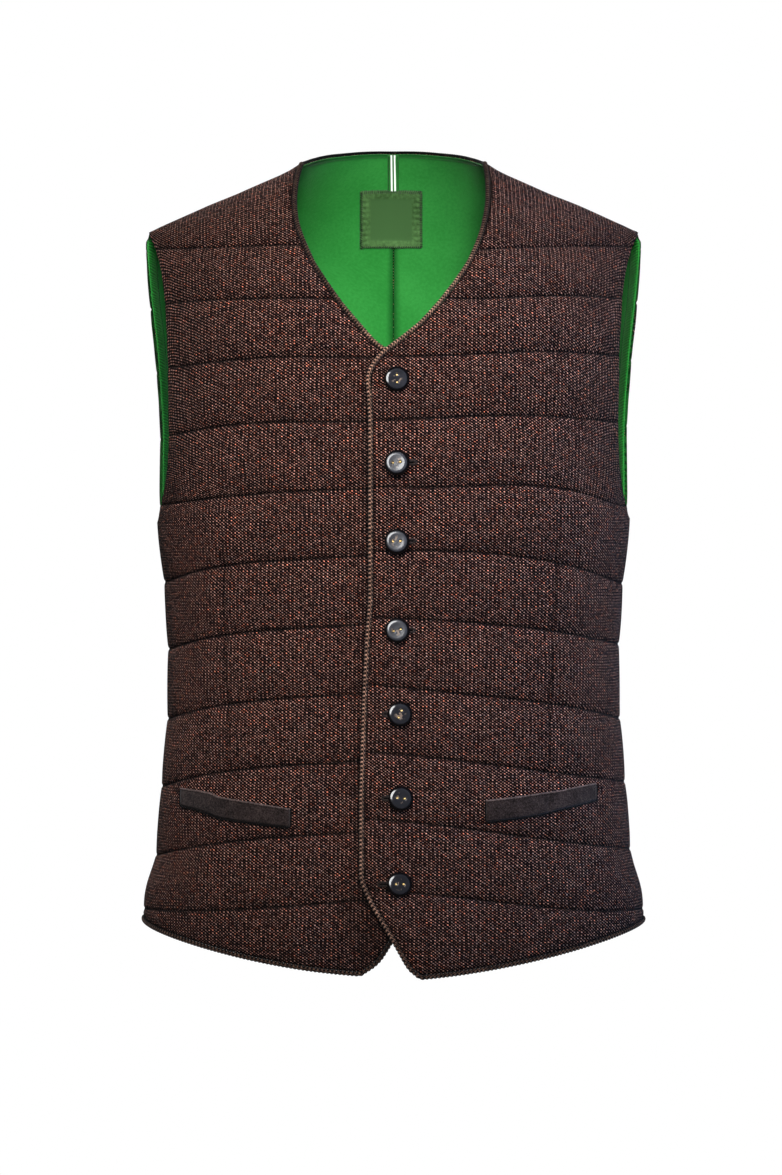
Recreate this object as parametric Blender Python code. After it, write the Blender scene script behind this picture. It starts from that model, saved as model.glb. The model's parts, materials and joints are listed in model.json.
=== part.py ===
"""A sleeveless quilted waistcoat in tweed, filled out as when it is worn.

Each cut piece is one closed wall of its own: two fronts, the back, the two halves of the back lining,
cord piping, pocket welts, seven buttons, the neck patch and its tape. Front is -Y and the wearer's left
is +X. The origin is midway between the two points where the shoulder seams meet the neck.
"""

import math

import bpy
import numpy as np
from mathutils import Matrix, Vector
from mathutils.bvhtree import BVHTree

MM = 0.001
SEAM_GAP = 0.3
WALL = 2.2  # cloth, wadding and lining pressed together at a stitch line
PUFF = 3.4  # how far a channel swells between two stitch lines
LINING = 1.0
PIPING = 4.0
NECK_CORD = 3.2
LAP = 2.3  # how far each front is moved out or in where the left one laps over the right one

# The body form: level sections |x / half|^2.4 + |y / depth|^2.4 = 1.
FORM_POWER = 2.4
SECTIONS = (
    # height, half width, front depth, back depth
    (-660, 200.5, 126, 116),
    (-600, 199.8, 124, 114),
    (-580, 196.8, 122, 112),
    (-556, 190.2, 120, 109),
    (-530, 187.2, 118, 107),
    (-500, 185.0, 116, 104),
    (-465, 181.6, 115, 102),
    (-430, 179.2, 114, 101),
    (-360, 180.5, 118, 106),
    (-286, 187.5, 124, 115),
    (-220, 193.5, 126, 121),
    (-150, 197.0, 124, 121),
    (-60, 200.0, 116, 114),
    (0, 201.0, 106, 104),
    (60, 201.0, 100, 98),
)
SHOULDER_FRONT = 170  # height over which the chest rounds off into the shoulder seam
SHOULDER_BACK = 140

# Neck, shoulder and armhole.
NECK_HALF = 73
NECK_RISE = 15  # the back neck stands this far above the ends of the shoulder seams
TIP_HALF = 196.5
SLOPE = 0.44
UNDERARM = -283
FRONT_ARMHOLE = (
    # height, distance from the middle
    (-286, 187.5), (-276, 186), (-262, 182), (-245, 179), (-220, 177.5), (-188, 177.5), (-140, 179),
    (-108, 181.5), (-92, 183.5), (-77, 187), (-66, 191), (-58, 194.6), (-54, 196.5),
)
BACK_ARMHOLE = (
    (-286, 187.5), (-276, 187.8), (-262, 188.3), (-240, 188.5), (-215, 188.7), (-188, 189.8),
    (-140, 192.5), (-108, 195.5), (-76, 198), (-62, 197.8), (-54, 196.5),
)

# The inner edge of each front: cutaway point, front edge, V of the neck, neckline.
LEFT_EDGE = (
    # height, distance from the middle towards the front's own side
    (-638.6, 24), (-636.5, 17.1), (-631, 12.6), (-613, 2.6), (-582, -15.9), (-565, -23.2), (-503, -23.2),
    (-426, -20.9), (-379, -18.6), (-348, -16.2), (-208, -16.2), (-174, -14.7), (-164, -10.5), (-155, -4.6), (-150, 3.1),
    (-134, 22.7), (-117, 37.9), (-101, 49.9), (-85, 60.4), (-68, 67.8), (-58, 71.2), (-47, 73.8),
    (-37, 75.6), (-26, 76.2), (-15, 76.1), (-5, 75.2), (0, 74.3),
)
RIGHT_EDGE = (
    (-636.2, 29), (-634.9, 23.6), (-630.6, 17.4), (-626.8, 12.8), (-613, 4), (-582, -13.6), (-565, -19.3),
    (-503, -19.3), (-208, -19.3), (-175, -16.4), (-165, -6.0), (-156, 5.3), (-149, 15.9), (-133, 29.3), (-117, 42.7), (-101, 53.8),
    (-85, 64.3), (-68, 71.7), (-58, 75.9), (-47, 78.5), (-36, 79.6), (-25, 79.4), (-14, 78.2), (-4, 76.0),
    (0, 74.6),
)

# Heights of the hem and of the stitch lines at five places, from the inner edge to the side.
LEFT_LINES = (
    (-638.6, -627.6, -614.8, -604.8, -600.4),
    (-572.7, -582.3, -590.0, -592.4, -594.6),
    (-517.5, -527.9, -537.1, -542.9, -547.0),
    (-465.6, -475.2, -483.7, -489.7, -493.1),
    (-412.8, -422.7, -430.1, -438.2, -441.9),
    (-361.2, -366.4, -373.4, -380.2, -382.8),
    (-309.8, -311.7, -320.6, -331.1, -334.2),
    (-259.8, -259.1, -260.1, -268.9, -272.3),
    (-208.8, -205.5, -204.4, -206.4, -207.2),
    (-159.3, -157.1, -154.3, -154.8, -154.6),
    (-113.8, -112.1, -109.6, -109.4, -108.9),
    (-74.2, -71.0, -68.8, -67.4, -67.0),
)
RIGHT_LINES = (
    (-636.2, -626.6, -614.6, -605.0, -599.6),
    (-578.2, -585.8, -590.6, -592.4, -594.2),
    (-525.7, -531.3, -538.0, -546.5, -551.4),
    (-469.9, -476.2, -482.4, -491.6, -496.0),
    (-417.8, -423.7, -429.7, -438.4, -442.0),
    (-364.2, -369.9, -375.2, -383.4, -386.3),
    (-311.4, -316.4, -321.6, -330.1, -332.5),
    (-261.0, -263.3, -266.8, -270.8, -272.4),
    (-208.3, -209.7, -210.5, -214.5, -218.5),
    (-159.3, -159.1, -160.1, -163.2, -164.8),
    (-112.9, -112.8, -112.6, -113.1, -114.2),
    (-70.3, -70.1, -70.0, -69.4, -68.6),
)
BACK_HEM_SIDE = -596
BACK_HEM_MIDDLE = -607

# Grid steps: the share of a channel at each row, and of the width at each column.
HEM_STEPS = (0, 0.05, 0.17, 0.38, 0.62, 0.84)
CHANNEL_STEPS = (0, 0.18, 0.5, 0.82)
TOP_STEPS = (0, 0.25, 0.5, 0.71, 0.87, 0.97)
FRONT_STEPS = np.array((0, 0.05, 0.12, 0.2, 0.29, 0.38, 0.47, 0.56, 0.65, 0.74, 0.83, 0.9, 0.955, 1))
BACK_TOP = np.array((17, 34, 50, 63, NECK_HALF, 92, 112, 134, 157, 179, TIP_HALF))

# Small pieces.
BUTTONS = (
    # x, z of each centre
    (2.7, -176.6), (2.7, -241.2), (2.7, -302.0), (3.0, -371.2), (5.1, -436.3), (5.8, -501.6), (4.8, -568.0),
)
BUTTON_PROFILE = (
    # radius, height
    (8.6, 0.0), (9.8, 1.3), (9.6, 2.6), (8.4, 3.6), (6.9, 3.3), (5.8, 2.7),
)
BUTTON_SIDES = 16
WELT_THICK = 1.6
LEFT_WELT = (
    # x, height of the top, height of the bottom
    (72.0, -503.3, -520.1), (95.0, -500.8, -517.6), (117.0, -497.9, -514.4), (130.5, -496.3, -511.0),
    (142.0, -494.2, -508.6), (159.0, -491.4, -504.6),
)
RIGHT_WELT = (
    (-80.5, -510.0, -524.4), (-103.0, -506.4, -522.0), (-126.0, -503.0, -519.4), (-137.5, -501.3, -517.8),
    (-142.0, -498.4, -515.4), (-154.0, -497.0, -512.0), (-167.5, -495.6, -509.4),
)
LABEL = ((-27.5, -13.6, -58.4), (23.8, -13.6, -58.4))
TAPE = ((-5.0, 10.8, -13.0), (4.6, 10.8, -13.0))
LAID_GAP = 0.7  # clear of the cloth under a piece that is sewn on it

SLOTS = {
    # slot: red, green, blue, roughness
    "tweed": (0.068, 0.033, 0.025, 0.95),
    "lining": (0.02, 0.2, 0.028, 0.75),
    "cord": (0.09, 0.055, 0.042, 0.9),
    "felt": (0.022, 0.014, 0.013, 0.95),
    "horn": (0.016, 0.017, 0.022, 0.25),
    "patch": (0.05, 0.135, 0.035, 0.8),
    "tape": (0.3, 0.36, 0.3, 0.8),
}


def smooth(z, column):
    """The column of SECTIONS at height z, along a curve through the rows."""
    table = np.array(SECTIONS, float)
    at, value = table[:, 0], table[:, column]
    slope = np.gradient(value, at)
    z = np.clip(z, at[0], at[-1])
    i = np.clip(np.searchsorted(at, z) - 1, 0, len(at) - 2)
    h = at[i + 1] - at[i]
    t = (z - at[i]) / h
    ends = value[i] * (1 + 2 * t) * (1 - t) ** 2 + value[i + 1] * t * t * (3 - 2 * t)
    return ends + slope[i] * h * t * (1 - t) ** 2 + slope[i + 1] * h * t * t * (t - 1)


def along(table, z):
    rows = np.array(table, float)
    return np.interp(z, rows[:, 0], rows[:, 1])


def shoulder(x):
    """Height of the shoulder seam at x."""
    return -SLOPE * np.maximum(np.abs(x) - NECK_HALF, 0)


def neck_height(x):
    return NECK_RISE * (1 - np.minimum(np.abs(x) / NECK_HALF, 1) ** 2.6)


def back_top(x):
    """The upper edge of the back: neck between the seam ends, shoulder seam outside them."""
    return np.where(np.abs(x) < NECK_HALF, neck_height(x), shoulder(x))


def rounded(x, z, back):
    """0 on the shoulder seam and 1 where the chest or back has its full depth."""
    top, height = shoulder(x), SHOULDER_FRONT
    if back:
        top = top + 63 * (1 - np.minimum(np.abs(x) / NECK_HALF, 1) ** 1.6)
        height = SHOULDER_BACK
    t = np.clip((top - z) / height, 0, 1)
    return np.sqrt(1 - (1 - t) ** 2)


def angle_of(x, z):
    share = np.clip(np.abs(x) / smooth(z, 1), 0, 1)
    return np.arcsin(share ** (FORM_POWER / 2)) * np.sign(x)


def on_form(angle, z, back):
    """Points of the body form, in millimetres, at these angles from the middle and heights."""
    x = smooth(z, 1) * np.abs(np.sin(angle)) ** (2 / FORM_POWER) * np.sign(angle)
    depth = smooth(z, 3 if back else 2) * np.abs(np.cos(angle)) ** (2 / FORM_POWER)
    y = depth * rounded(x, z, back) * (1 if back else -1)
    return np.stack([x, y, z + 0 * x], axis=-1)


def normals_of(points):
    """Unit normals of a grid of points, facing away from the body's axis."""
    n = np.cross(np.gradient(points, axis=1), np.gradient(points, axis=0))
    n /= np.linalg.norm(n, axis=2, keepdims=True) + 1e-12
    out = points * (1, 1, 0) + (0, 0, 60)
    return n * np.sign(np.sum(n * out))


def row_steps(lines):
    """(lower line, share of the way up to the next one) for each row of a grid."""
    shares = [HEM_STEPS] + [CHANNEL_STEPS] * (lines - 2) + [TOP_STEPS]
    return [(k, s) for k, row in enumerate(shares) for s in row] + [(lines - 1, 1.0)]


def channel_puff(steps, heights, points):
    """Swelling at each point: nothing on the lines, and less in a low channel, at an edge or at the side."""
    rise = np.array([(4 * s * (1 - s)) ** 0.6 for _, s in steps])[:, None]
    low = np.array([heights[k] for k, _ in steps])
    edge = np.clip(edge_distance(points) / 14, 0, 1) ** 0.5
    side = np.clip((np.abs(points[..., 0]) - 130) / 50, 0, 1)
    return PUFF * rise * np.clip(low / 40, 0, 1) ** 0.8 * edge * (1 - 0.5 * side)


def edge_distance(points):
    """Distance along each row to its nearer end."""
    step = np.linalg.norm(np.diff(points, axis=1), axis=2)
    run = np.concatenate([np.zeros((len(points), 1)), np.cumsum(step, axis=1)], axis=1)
    return np.minimum(run, run[:, -1:] - run)


def overlap_share(x):
    """1 where the fronts lap over each other, and 0 from 75 mm off the middle."""
    t = np.clip((75 - np.abs(x)) / 45, 0, 1)
    return t * t * (3 - 2 * t)


def outer_angle(armhole, z):
    """Angle of a piece's outer end at height z: at the side seam, or at the armhole above it."""
    return math.pi / 2 if z < UNDERARM + 1 else float(angle_of(along(armhole, z), z))


def front_grid(lines, edge):
    """The form's points for one front, seen as the left one, and each row's place."""
    steps = row_steps(len(lines))
    fits = [np.polyfit(np.linspace(0, 1, 5), row, 4) for row in lines]
    rows = [np.polyval(fit, FRONT_STEPS) for fit in fits]
    inner, outer = angle_of(along(edge, 0.0), 0.0), angle_of(TIP_HALF, -54.0)
    top_x = on_form(inner + FRONT_STEPS * (outer - inner), -25 + 0 * FRONT_STEPS, False)[:, 0]
    rows.append(shoulder(top_x))
    grid = []
    for k, s in steps:
        z = (1 - s) * rows[k] + s * rows[k + 1]
        first = angle_of(along(edge, z[0]), z[0])
        last = outer_angle(FRONT_ARMHOLE, z[-1])
        grid.append(on_form(first + FRONT_STEPS * (last - first), z, False))
    grid[-1][:, 2] = shoulder(grid[-1][:, 0])
    heights = [rows[k + 1] - rows[k] for k in range(len(lines))]
    return np.array(grid), steps, heights


def seam_plane(points, normals, where, y):
    """Puts these points in the plane of a seam at y, with normals that stay in the plane."""
    points[where, 1] = y
    normals[where, 1] = 0
    normals[where] /= np.linalg.norm(normals[where], axis=-1, keepdims=True)


def front_wall(lines, edge, side, lap):
    """Outer and inner points of a front, the points of its middle surface and the normals."""
    points, steps, heights = front_grid(lines, edge)
    normals = normals_of(points)
    seams = np.zeros(points.shape[:2], bool)
    seams[-1] = True
    seams[:, -1] = points[:, -1, 2] < UNDERARM + 1
    seam_plane(points, normals, seams, -SEAM_GAP / 2)
    share = overlap_share(points[..., 0])
    puff = channel_puff(steps, heights, points)
    puff *= 1 - share * (0.3 if lap > 0 else 0.65)
    points = points + normals * (lap * share)[..., None]
    outer = points + normals * puff[..., None]
    inner = (points - normals * WALL)[::2]
    flip = np.array((side, 1, 1))
    return outer * flip, inner * flip, points * flip, normals * flip


def back_grid():
    u = np.linspace(-1, 1, 2 * len(BACK_TOP) + 1)
    ends = [(r[4], l[4]) for r, l in zip(RIGHT_LINES[2:], LEFT_LINES[2:])]
    rows = [low + (high - low) * (u + 1) / 2 for low, high in ends]
    rows.insert(0, BACK_HEM_MIDDLE + (BACK_HEM_SIDE - BACK_HEM_MIDDLE) * u**2)
    steps = row_steps(len(rows))
    top_x = np.concatenate([-BACK_TOP[::-1], [0], BACK_TOP])
    rows.append(back_top(top_x))
    grid = []
    for k, s in steps:
        z = (1 - s) * rows[k] + s * rows[k + 1]
        last = [outer_angle(BACK_ARMHOLE, end) for end in (z[0], z[-1])]
        even = np.where(u < 0, u * last[0], u * last[1])
        crowd = np.clip((z + 200) / 200, 0, 1) ** 1.2
        if k == steps[-1][0]:
            crowd = crowd + (1 - crowd) * s
        angle = (1 - crowd) * even + crowd * angle_of(top_x, -25.0)
        angle[[0, -1]] = even[[0, -1]]
        grid.append(on_form(angle, z, True))
    heights = [rows[k + 1] - rows[k] for k in range(len(rows) - 1)]
    return np.array(grid), steps, heights


def back_wall():
    points, steps, heights = back_grid()
    normals = normals_of(points)
    seams = np.zeros(points.shape[:2], bool)
    seams[-1] = np.abs(points[-1, :, 0]) > NECK_HALF - 0.5
    seams[:, 0] = points[:, 0, 2] < UNDERARM + 1
    seams[:, -1] = points[:, -1, 2] < UNDERARM + 1
    seams[-1, [0, -1]] = True
    seam_plane(points, normals, seams, SEAM_GAP / 2)
    puff = channel_puff(steps, heights, points)
    outer = points + normals * puff[..., None]
    return outer, (points - normals * WALL)[::2], points, normals


def grid_faces(rows, columns, start, flip):
    faces = []
    for r in range(rows - 1):
        for c in range(columns - 1):
            a = start + r * columns + c
            b, d, e = a + 1, a + columns, a + columns + 1
            faces += [(a, b, e), (a, e, d)]
    return [f[::-1] for f in faces] if flip else faces


def rim_faces(outer, inner):
    """Faces between the ends of two grids, where the inner one has every second row or all of them."""
    ratio = (len(outer) - 1) // (len(inner) - 1)
    faces = []
    for k in range(len(inner) - 1):
        run = outer[k * ratio : (k + 1) * ratio + 1]
        middle = len(run) // 2
        for i in range(len(run) - 1):
            faces.append((inner[k] if i < middle else inner[k + 1], run[i], run[i + 1]))
        faces.append((inner[k], run[middle], inner[k + 1]))
    return faces


def solid_from(name, slot, points, faces):
    """An object from points in millimetres and faces, turned so that the faces look outwards."""
    points = np.asarray(points, float) * MM
    faces = np.array(faces)
    a, b, c = (points[faces[:, i]] for i in range(3))
    if np.sum(a * np.cross(b, c)) < 0:
        faces = faces[:, ::-1]
    mesh = bpy.data.meshes.new(name)
    mesh.from_pydata(points.tolist(), [], faces.tolist())
    mesh.update()
    return add(name, slot, bpy.data.objects.new(name, mesh))


def add(name, slot, obj):
    if slot not in bpy.data.materials:
        material = bpy.data.materials.new(slot)
        material.use_nodes = True
        shader = material.node_tree.nodes["Principled BSDF"]
        shader.inputs["Base Color"].default_value = (*SLOTS[slot][:3], 1)
        shader.inputs["Roughness"].default_value = SLOTS[slot][3]
    obj.data.materials.append(bpy.data.materials[slot])
    bpy.data.collections["quilted_gilet"].objects.link(obj)
    return obj


def wall_solid(name, slot, outer, inner):
    """A closed wall between an outer grid and an inner one with the same columns."""
    rows, columns = outer.shape[:2]
    low_rows = len(inner)
    start = rows * columns
    faces = grid_faces(rows, columns, 0, False) + grid_faces(low_rows, columns, start, True)
    out = np.arange(start).reshape(rows, columns)
    ins = start + np.arange(low_rows * columns).reshape(low_rows, columns)
    faces += [f[::-1] for f in rim_faces(out[0], ins[0])] + rim_faces(out[-1], ins[-1])
    faces += rim_faces(out[:, 0], ins[:, 0]) + [f[::-1] for f in rim_faces(out[:, -1], ins[:, -1])]
    points = np.concatenate([outer.reshape(-1, 3), inner.reshape(-1, 3)])
    return solid_from(name, slot, points, faces)


def lining_half(name, inner, normals, columns, seam_x):
    """One half of the back lining, just inside the back's own inner face."""
    base, out = inner[:, columns], normals[::2][:, columns]
    near, far = base - out * SEAM_GAP, base - out * (SEAM_GAP + LINING)
    middle = 0 if seam_x > 0 else -1
    for layer in (near, far):
        layer[:, middle, 0] = seam_x
    return wall_solid(name, "lining", near, far)


def cord(name, slot, path, diameter):
    curve = bpy.data.curves.new(name, "CURVE")
    curve.dimensions = "3D"
    curve.bevel_depth = diameter / 2 * MM
    curve.bevel_resolution = 1
    curve.use_fill_caps = True
    spline = curve.splines.new("POLY")
    spline.points.add(len(path) - 1)
    for point, place in zip(spline.points, path):
        point.co = (*(place * MM), 1)
    return add(name, slot, bpy.data.objects.new(name, curve))


def beside(edge_points, edge_normals, reach, lift):
    """A path beside an edge: moved off the piece along its surface, and a little along its normal."""
    run = np.gradient(edge_points, axis=0)
    run /= np.linalg.norm(run, axis=1, keepdims=True)
    off = np.cross(run, edge_normals)
    off /= np.linalg.norm(off, axis=1, keepdims=True)
    return edge_points + off * reach + edge_normals * lift


def trimmed(path, start, end):
    """The path without its first and last few millimetres, and without crowded points."""
    kept = [path[0] + (path[1] - path[0]) * start / np.linalg.norm(path[1] - path[0])]
    for point in path[1:-1]:
        if np.linalg.norm(point - kept[-1]) > 1.5:
            kept.append(point)
    last = path[-1] + (kept[-1] - path[-1]) * end / np.linalg.norm(kept[-1] - path[-1])
    if np.linalg.norm(last - kept[-1]) < 4:
        kept.pop()
    return np.array(kept + [last])


def front_piping(name, points, normals, side):
    """Cord along the neckline, front edge and hem of one front, from the shoulder to the side seam."""
    edge = np.concatenate([points[::-1, 0], points[0, 1:]])
    out = np.concatenate([normals[::-1, 0], normals[0, 1:]])
    path = beside(edge, out, side * (PIPING / 2 + 0.62), -0.4)
    return cord(name, "cord", trimmed(path, 1.2, 1.0), PIPING)


def tree_of(obj):
    points = [v.co / MM for v in obj.data.vertices]
    return BVHTree.FromPolygons(points, [tuple(p.vertices) for p in obj.data.polygons])


def cast(tree, x, z, start=-400.0):
    """Where a line along +Y at (x, z) first meets the surface, and the normal there towards the line's start."""
    place, normal, _, _ = tree.ray_cast(Vector((x, start, z)), Vector((0, 1, 0)))
    normal = normal if normal.y < 0 else -normal
    return np.array(place), np.array(normal)


def laid_on(name, slot, tree, table, thick, rows, start=-400.0):
    """A thin piece that follows a surface, from points found on it about 6 mm apart."""
    x, top, bottom = np.array(table, float).T
    xs = np.linspace(x[0], x[-1], 2 + int(abs(x[-1] - x[0]) / 6))
    order = np.argsort(x)
    tops, bottoms = (np.interp(xs, x[order], line[order]) for line in (top, bottom))
    near, far = [], []
    for v in np.linspace(0, 1, rows):
        hits = [cast(tree, a, b + v * (t - b), start) for a, t, b in zip(xs, tops, bottoms)]
        place = np.array([h[0] for h in hits])
        normal = np.array([h[1] for h in hits])
        far.append(place + normal * LAID_GAP)
        near.append(place + normal * (LAID_GAP + thick))
    return wall_solid(name, slot, np.array(near), np.array(far))


def button(name, tree, x, z):
    """A dished button, turned round its own axis, resting over the highest point of the cloth under it."""
    place, normal = cast(tree, x, z)
    around = [cast(tree, x + 9 * math.cos(a), z + 9 * math.sin(a)) for a in np.linspace(0, 5.5, 8)]
    normal = Vector(normal + sum(n for _, n in around)).normalized()
    spots = [place] + [p for p, _ in around]
    lift = max((Vector(p) - Vector(place)).dot(normal) for p in spots) + SEAM_GAP + 0.1
    turn = normal.to_track_quat("Z", "Y").to_matrix().to_4x4()
    frame = Matrix.Translation(Vector(place) + normal * lift) @ turn
    points = [frame @ Vector((0, 0, BUTTON_PROFILE[0][1]))]
    for radius, height in BUTTON_PROFILE:
        for k in range(BUTTON_SIDES):
            a = 2 * math.pi * k / BUTTON_SIDES
            points.append(frame @ Vector((radius * math.cos(a), radius * math.sin(a), height)))
    points.append(frame @ Vector((0, 0, BUTTON_PROFILE[-1][1])))
    faces, n = [], BUTTON_SIDES
    for k in range(n):
        j = (k + 1) % n
        faces.append((0, 1 + j, 1 + k))
        for r in range(len(BUTTON_PROFILE) - 1):
            a, b = 1 + r * n + k, 1 + r * n + j
            faces += [(a, b, b + n), (a, b + n, a + n)]
        last = 1 + (len(BUTTON_PROFILE) - 1) * n
        faces.append((last + k, last + j, len(points) - 1))
    return solid_from(name, "horn", points, faces)


def build():
    for old in list(bpy.data.objects):
        bpy.data.objects.remove(old, do_unlink=True)
    collection = bpy.data.collections.new("quilted_gilet")
    bpy.context.scene.collection.children.link(collection)

    left = front_wall(LEFT_LINES, LEFT_EDGE, 1, LAP)
    right = front_wall(RIGHT_LINES, RIGHT_EDGE, -1, -LAP)
    front_left = wall_solid("front_left", "tweed", left[0], left[1])
    front_right = wall_solid("front_right", "tweed", right[0], right[1])

    outer, inner, points, normals = back_wall()
    wall_solid("back", "tweed", outer, inner)
    middle = len(BACK_TOP)
    lining_half("lining_back_right", inner, normals, slice(0, middle + 1), -SEAM_GAP / 2)
    lining_half("lining_back_left", inner, normals, slice(middle, None), SEAM_GAP / 2)

    front_piping("piping_front_left", left[2], left[3], 1)
    front_piping("piping_front_right", right[2], right[3], -1)
    neck = np.abs(points[-1, :, 0]) < NECK_HALF + 1
    path = beside(points[-1, neck], normals[-1, neck], NECK_CORD / 2 + SEAM_GAP, -1.0)
    cord("piping_back_neck", "cord", trimmed(path, 2.2, 2.2), NECK_CORD)

    over, under = tree_of(front_left), tree_of(front_right)
    laid_on("pocket_welt_left", "felt", over, LEFT_WELT, WELT_THICK, 4)
    laid_on("pocket_welt_right", "felt", under, RIGHT_WELT, WELT_THICK, 4)
    for k, (x, z) in enumerate(BUTTONS):
        button(f"button_{k + 1}", over, x, z)

    near = -SEAM_GAP - LINING
    inside = inner + normals[::2] * near
    faces = grid_faces(*inside.shape[:2], 0, False)
    lining = BVHTree.FromPolygons([Vector(p) for p in inside.reshape(-1, 3)], faces)
    laid_on("neck_label", "patch", lining, LABEL, 1.2, 7, -50.0)
    laid_on("neck_tape", "tape", lining, TAPE, 0.8, 5, -50.0)


build()
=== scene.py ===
# %% [markdown]
# # A quilted tweed waistcoat, filled out as if worn
# The imported model holds every cut piece as one plain closed wall. This lesson dresses it: each wall is
# replaced by a finer shell on the same form, and the sewing, cord, buttons and cloth are added.
# Nothing is moved away from the imported model, so its place is read first.

# %% Load the imported model
import json
import math

import bpy
import numpy as np
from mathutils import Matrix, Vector

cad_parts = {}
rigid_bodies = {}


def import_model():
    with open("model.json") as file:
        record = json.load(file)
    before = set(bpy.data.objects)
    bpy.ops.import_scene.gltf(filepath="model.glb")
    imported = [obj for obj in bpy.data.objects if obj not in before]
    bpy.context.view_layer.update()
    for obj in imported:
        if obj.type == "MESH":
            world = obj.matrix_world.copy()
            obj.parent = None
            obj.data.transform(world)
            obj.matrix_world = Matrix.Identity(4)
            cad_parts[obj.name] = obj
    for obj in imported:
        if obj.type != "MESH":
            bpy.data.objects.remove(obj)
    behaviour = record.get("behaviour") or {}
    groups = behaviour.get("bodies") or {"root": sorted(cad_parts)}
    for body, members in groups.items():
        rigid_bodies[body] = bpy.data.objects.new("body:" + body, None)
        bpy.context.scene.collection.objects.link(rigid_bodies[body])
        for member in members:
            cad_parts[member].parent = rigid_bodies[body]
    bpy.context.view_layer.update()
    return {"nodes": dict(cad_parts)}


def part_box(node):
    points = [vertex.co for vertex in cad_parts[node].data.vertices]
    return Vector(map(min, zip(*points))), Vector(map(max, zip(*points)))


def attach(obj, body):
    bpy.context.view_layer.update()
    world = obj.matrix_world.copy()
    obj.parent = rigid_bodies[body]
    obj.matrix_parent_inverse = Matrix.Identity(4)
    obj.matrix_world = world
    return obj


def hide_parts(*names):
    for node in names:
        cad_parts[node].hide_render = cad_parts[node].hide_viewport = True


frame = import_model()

MM = 0.001
print("packed nodes:", len(frame["nodes"]))

# %% [markdown]
# ## The driving sizes
# All shapes below are worked out in millimetres from these tables. The body form is a stack of level
# sections, each a rounded rectangle |x / half|^2.4 + |y / depth|^2.4 = 1. The fronts and the back are cut
# out of that form by their edges, and the quilting lines run across them.

# %% The body form and the pattern pieces
FORM_POWER = 2.4
SECTIONS = (
    # height, half width, front depth, back depth
    (-660, 200.5, 126, 116),
    (-600, 199.8, 124, 114),
    (-580, 196.8, 122, 112),
    (-556, 190.2, 120, 109),
    (-530, 187.2, 118, 107),
    (-500, 185.0, 116, 104),
    (-465, 181.6, 115, 102),
    (-430, 179.2, 114, 101),
    (-360, 180.5, 118, 106),
    (-286, 187.5, 124, 115),
    (-220, 193.5, 126, 121),
    (-150, 197.0, 124, 121),
    (-60, 200.0, 116, 114),
    (0, 201.0, 106, 104),
    (60, 201.0, 100, 98),
)
SHOULDER_FRONT, SHOULDER_BACK = 170, 140  # height over which the form rounds off into the shoulder seam
NECK_HALF, NECK_RISE, NECK_HOOD = 73, 15, 63
TIP_HALF, SLOPE, UNDERARM = 196.5, 0.44, -283
TIP_HEIGHT = -54
WALL, LINING, SEAM_GAP = 2.2, 1.0, 0.3
PUFF, LAP = 3.4, 2.3
OVERLAP_END, OVERLAP_FADE = 75, 45  # how far from the middle the fronts' lap ends, and how softly
ARMHOLE_SIDE, CHEST = 150, -150  # further out only the armholes remain; wales run straight up above CHEST
TOP_READ = -25.0  # height at which places along the top edge are turned into angles
FAR = 99  # millimetres to a stitch line that isn't there

FRONT_ARMHOLE = (
    # height, distance from the middle
    (-286, 187.5), (-276, 186), (-262, 182), (-245, 179), (-220, 177.5), (-188, 177.5), (-140, 179),
    (-108, 181.5), (-92, 183.5), (-77, 187), (-66, 191), (-58, 194.6), (-54, 196.5),
)
BACK_ARMHOLE = (
    (-286, 187.5), (-276, 187.8), (-262, 188.3), (-240, 188.5), (-215, 188.7), (-188, 189.8),
    (-140, 193.5), (-108, 196.8), (-90, 198.2), (-76, 199.2), (-64, 199.6), (-58, 198.8), (-54, 196.5),
)
LEFT_EDGE = (
    # height, distance from the middle towards the front's own side: point, front edge, V, neckline
    (-638.6, 24), (-636.5, 17.1), (-631, 12.6), (-613, 2.6), (-582, -15.9), (-565, -23.2),
    (-503, -23.2), (-426, -20.9), (-379, -18.6), (-348, -16.2), (-208, -16.2), (-190, -17.0), (-176, -18.4),
    (-169, -16.6), (-161, -10.6), (-155, -5.2), (-150, 2.6), (-134, 22.7), (-117, 37.9), (-101, 49.9),
    (-85, 60.4), (-68, 67.8), (-58, 71.2), (-47, 73.8), (-37, 75.6), (-26, 76.2), (-15, 76.1), (-5, 75.2),
    (0, 74.3),
)
RIGHT_EDGE = (
    (-636.2, 29), (-634.9, 23.6), (-630.6, 17.4), (-626.8, 12.8), (-613, 4), (-582, -13.6),
    (-565, -19.3), (-503, -19.3), (-208, -19.3), (-175, -16.4), (-165, -6.0), (-156, 5.3), (-149, 15.9),
    (-133, 29.3), (-117, 42.7), (-101, 53.8), (-85, 64.3), (-68, 71.7), (-58, 75.9), (-47, 78.5),
    (-36, 79.6), (-25, 79.4), (-14, 78.2), (-4, 76.0), (0, 74.6),
)

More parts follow.
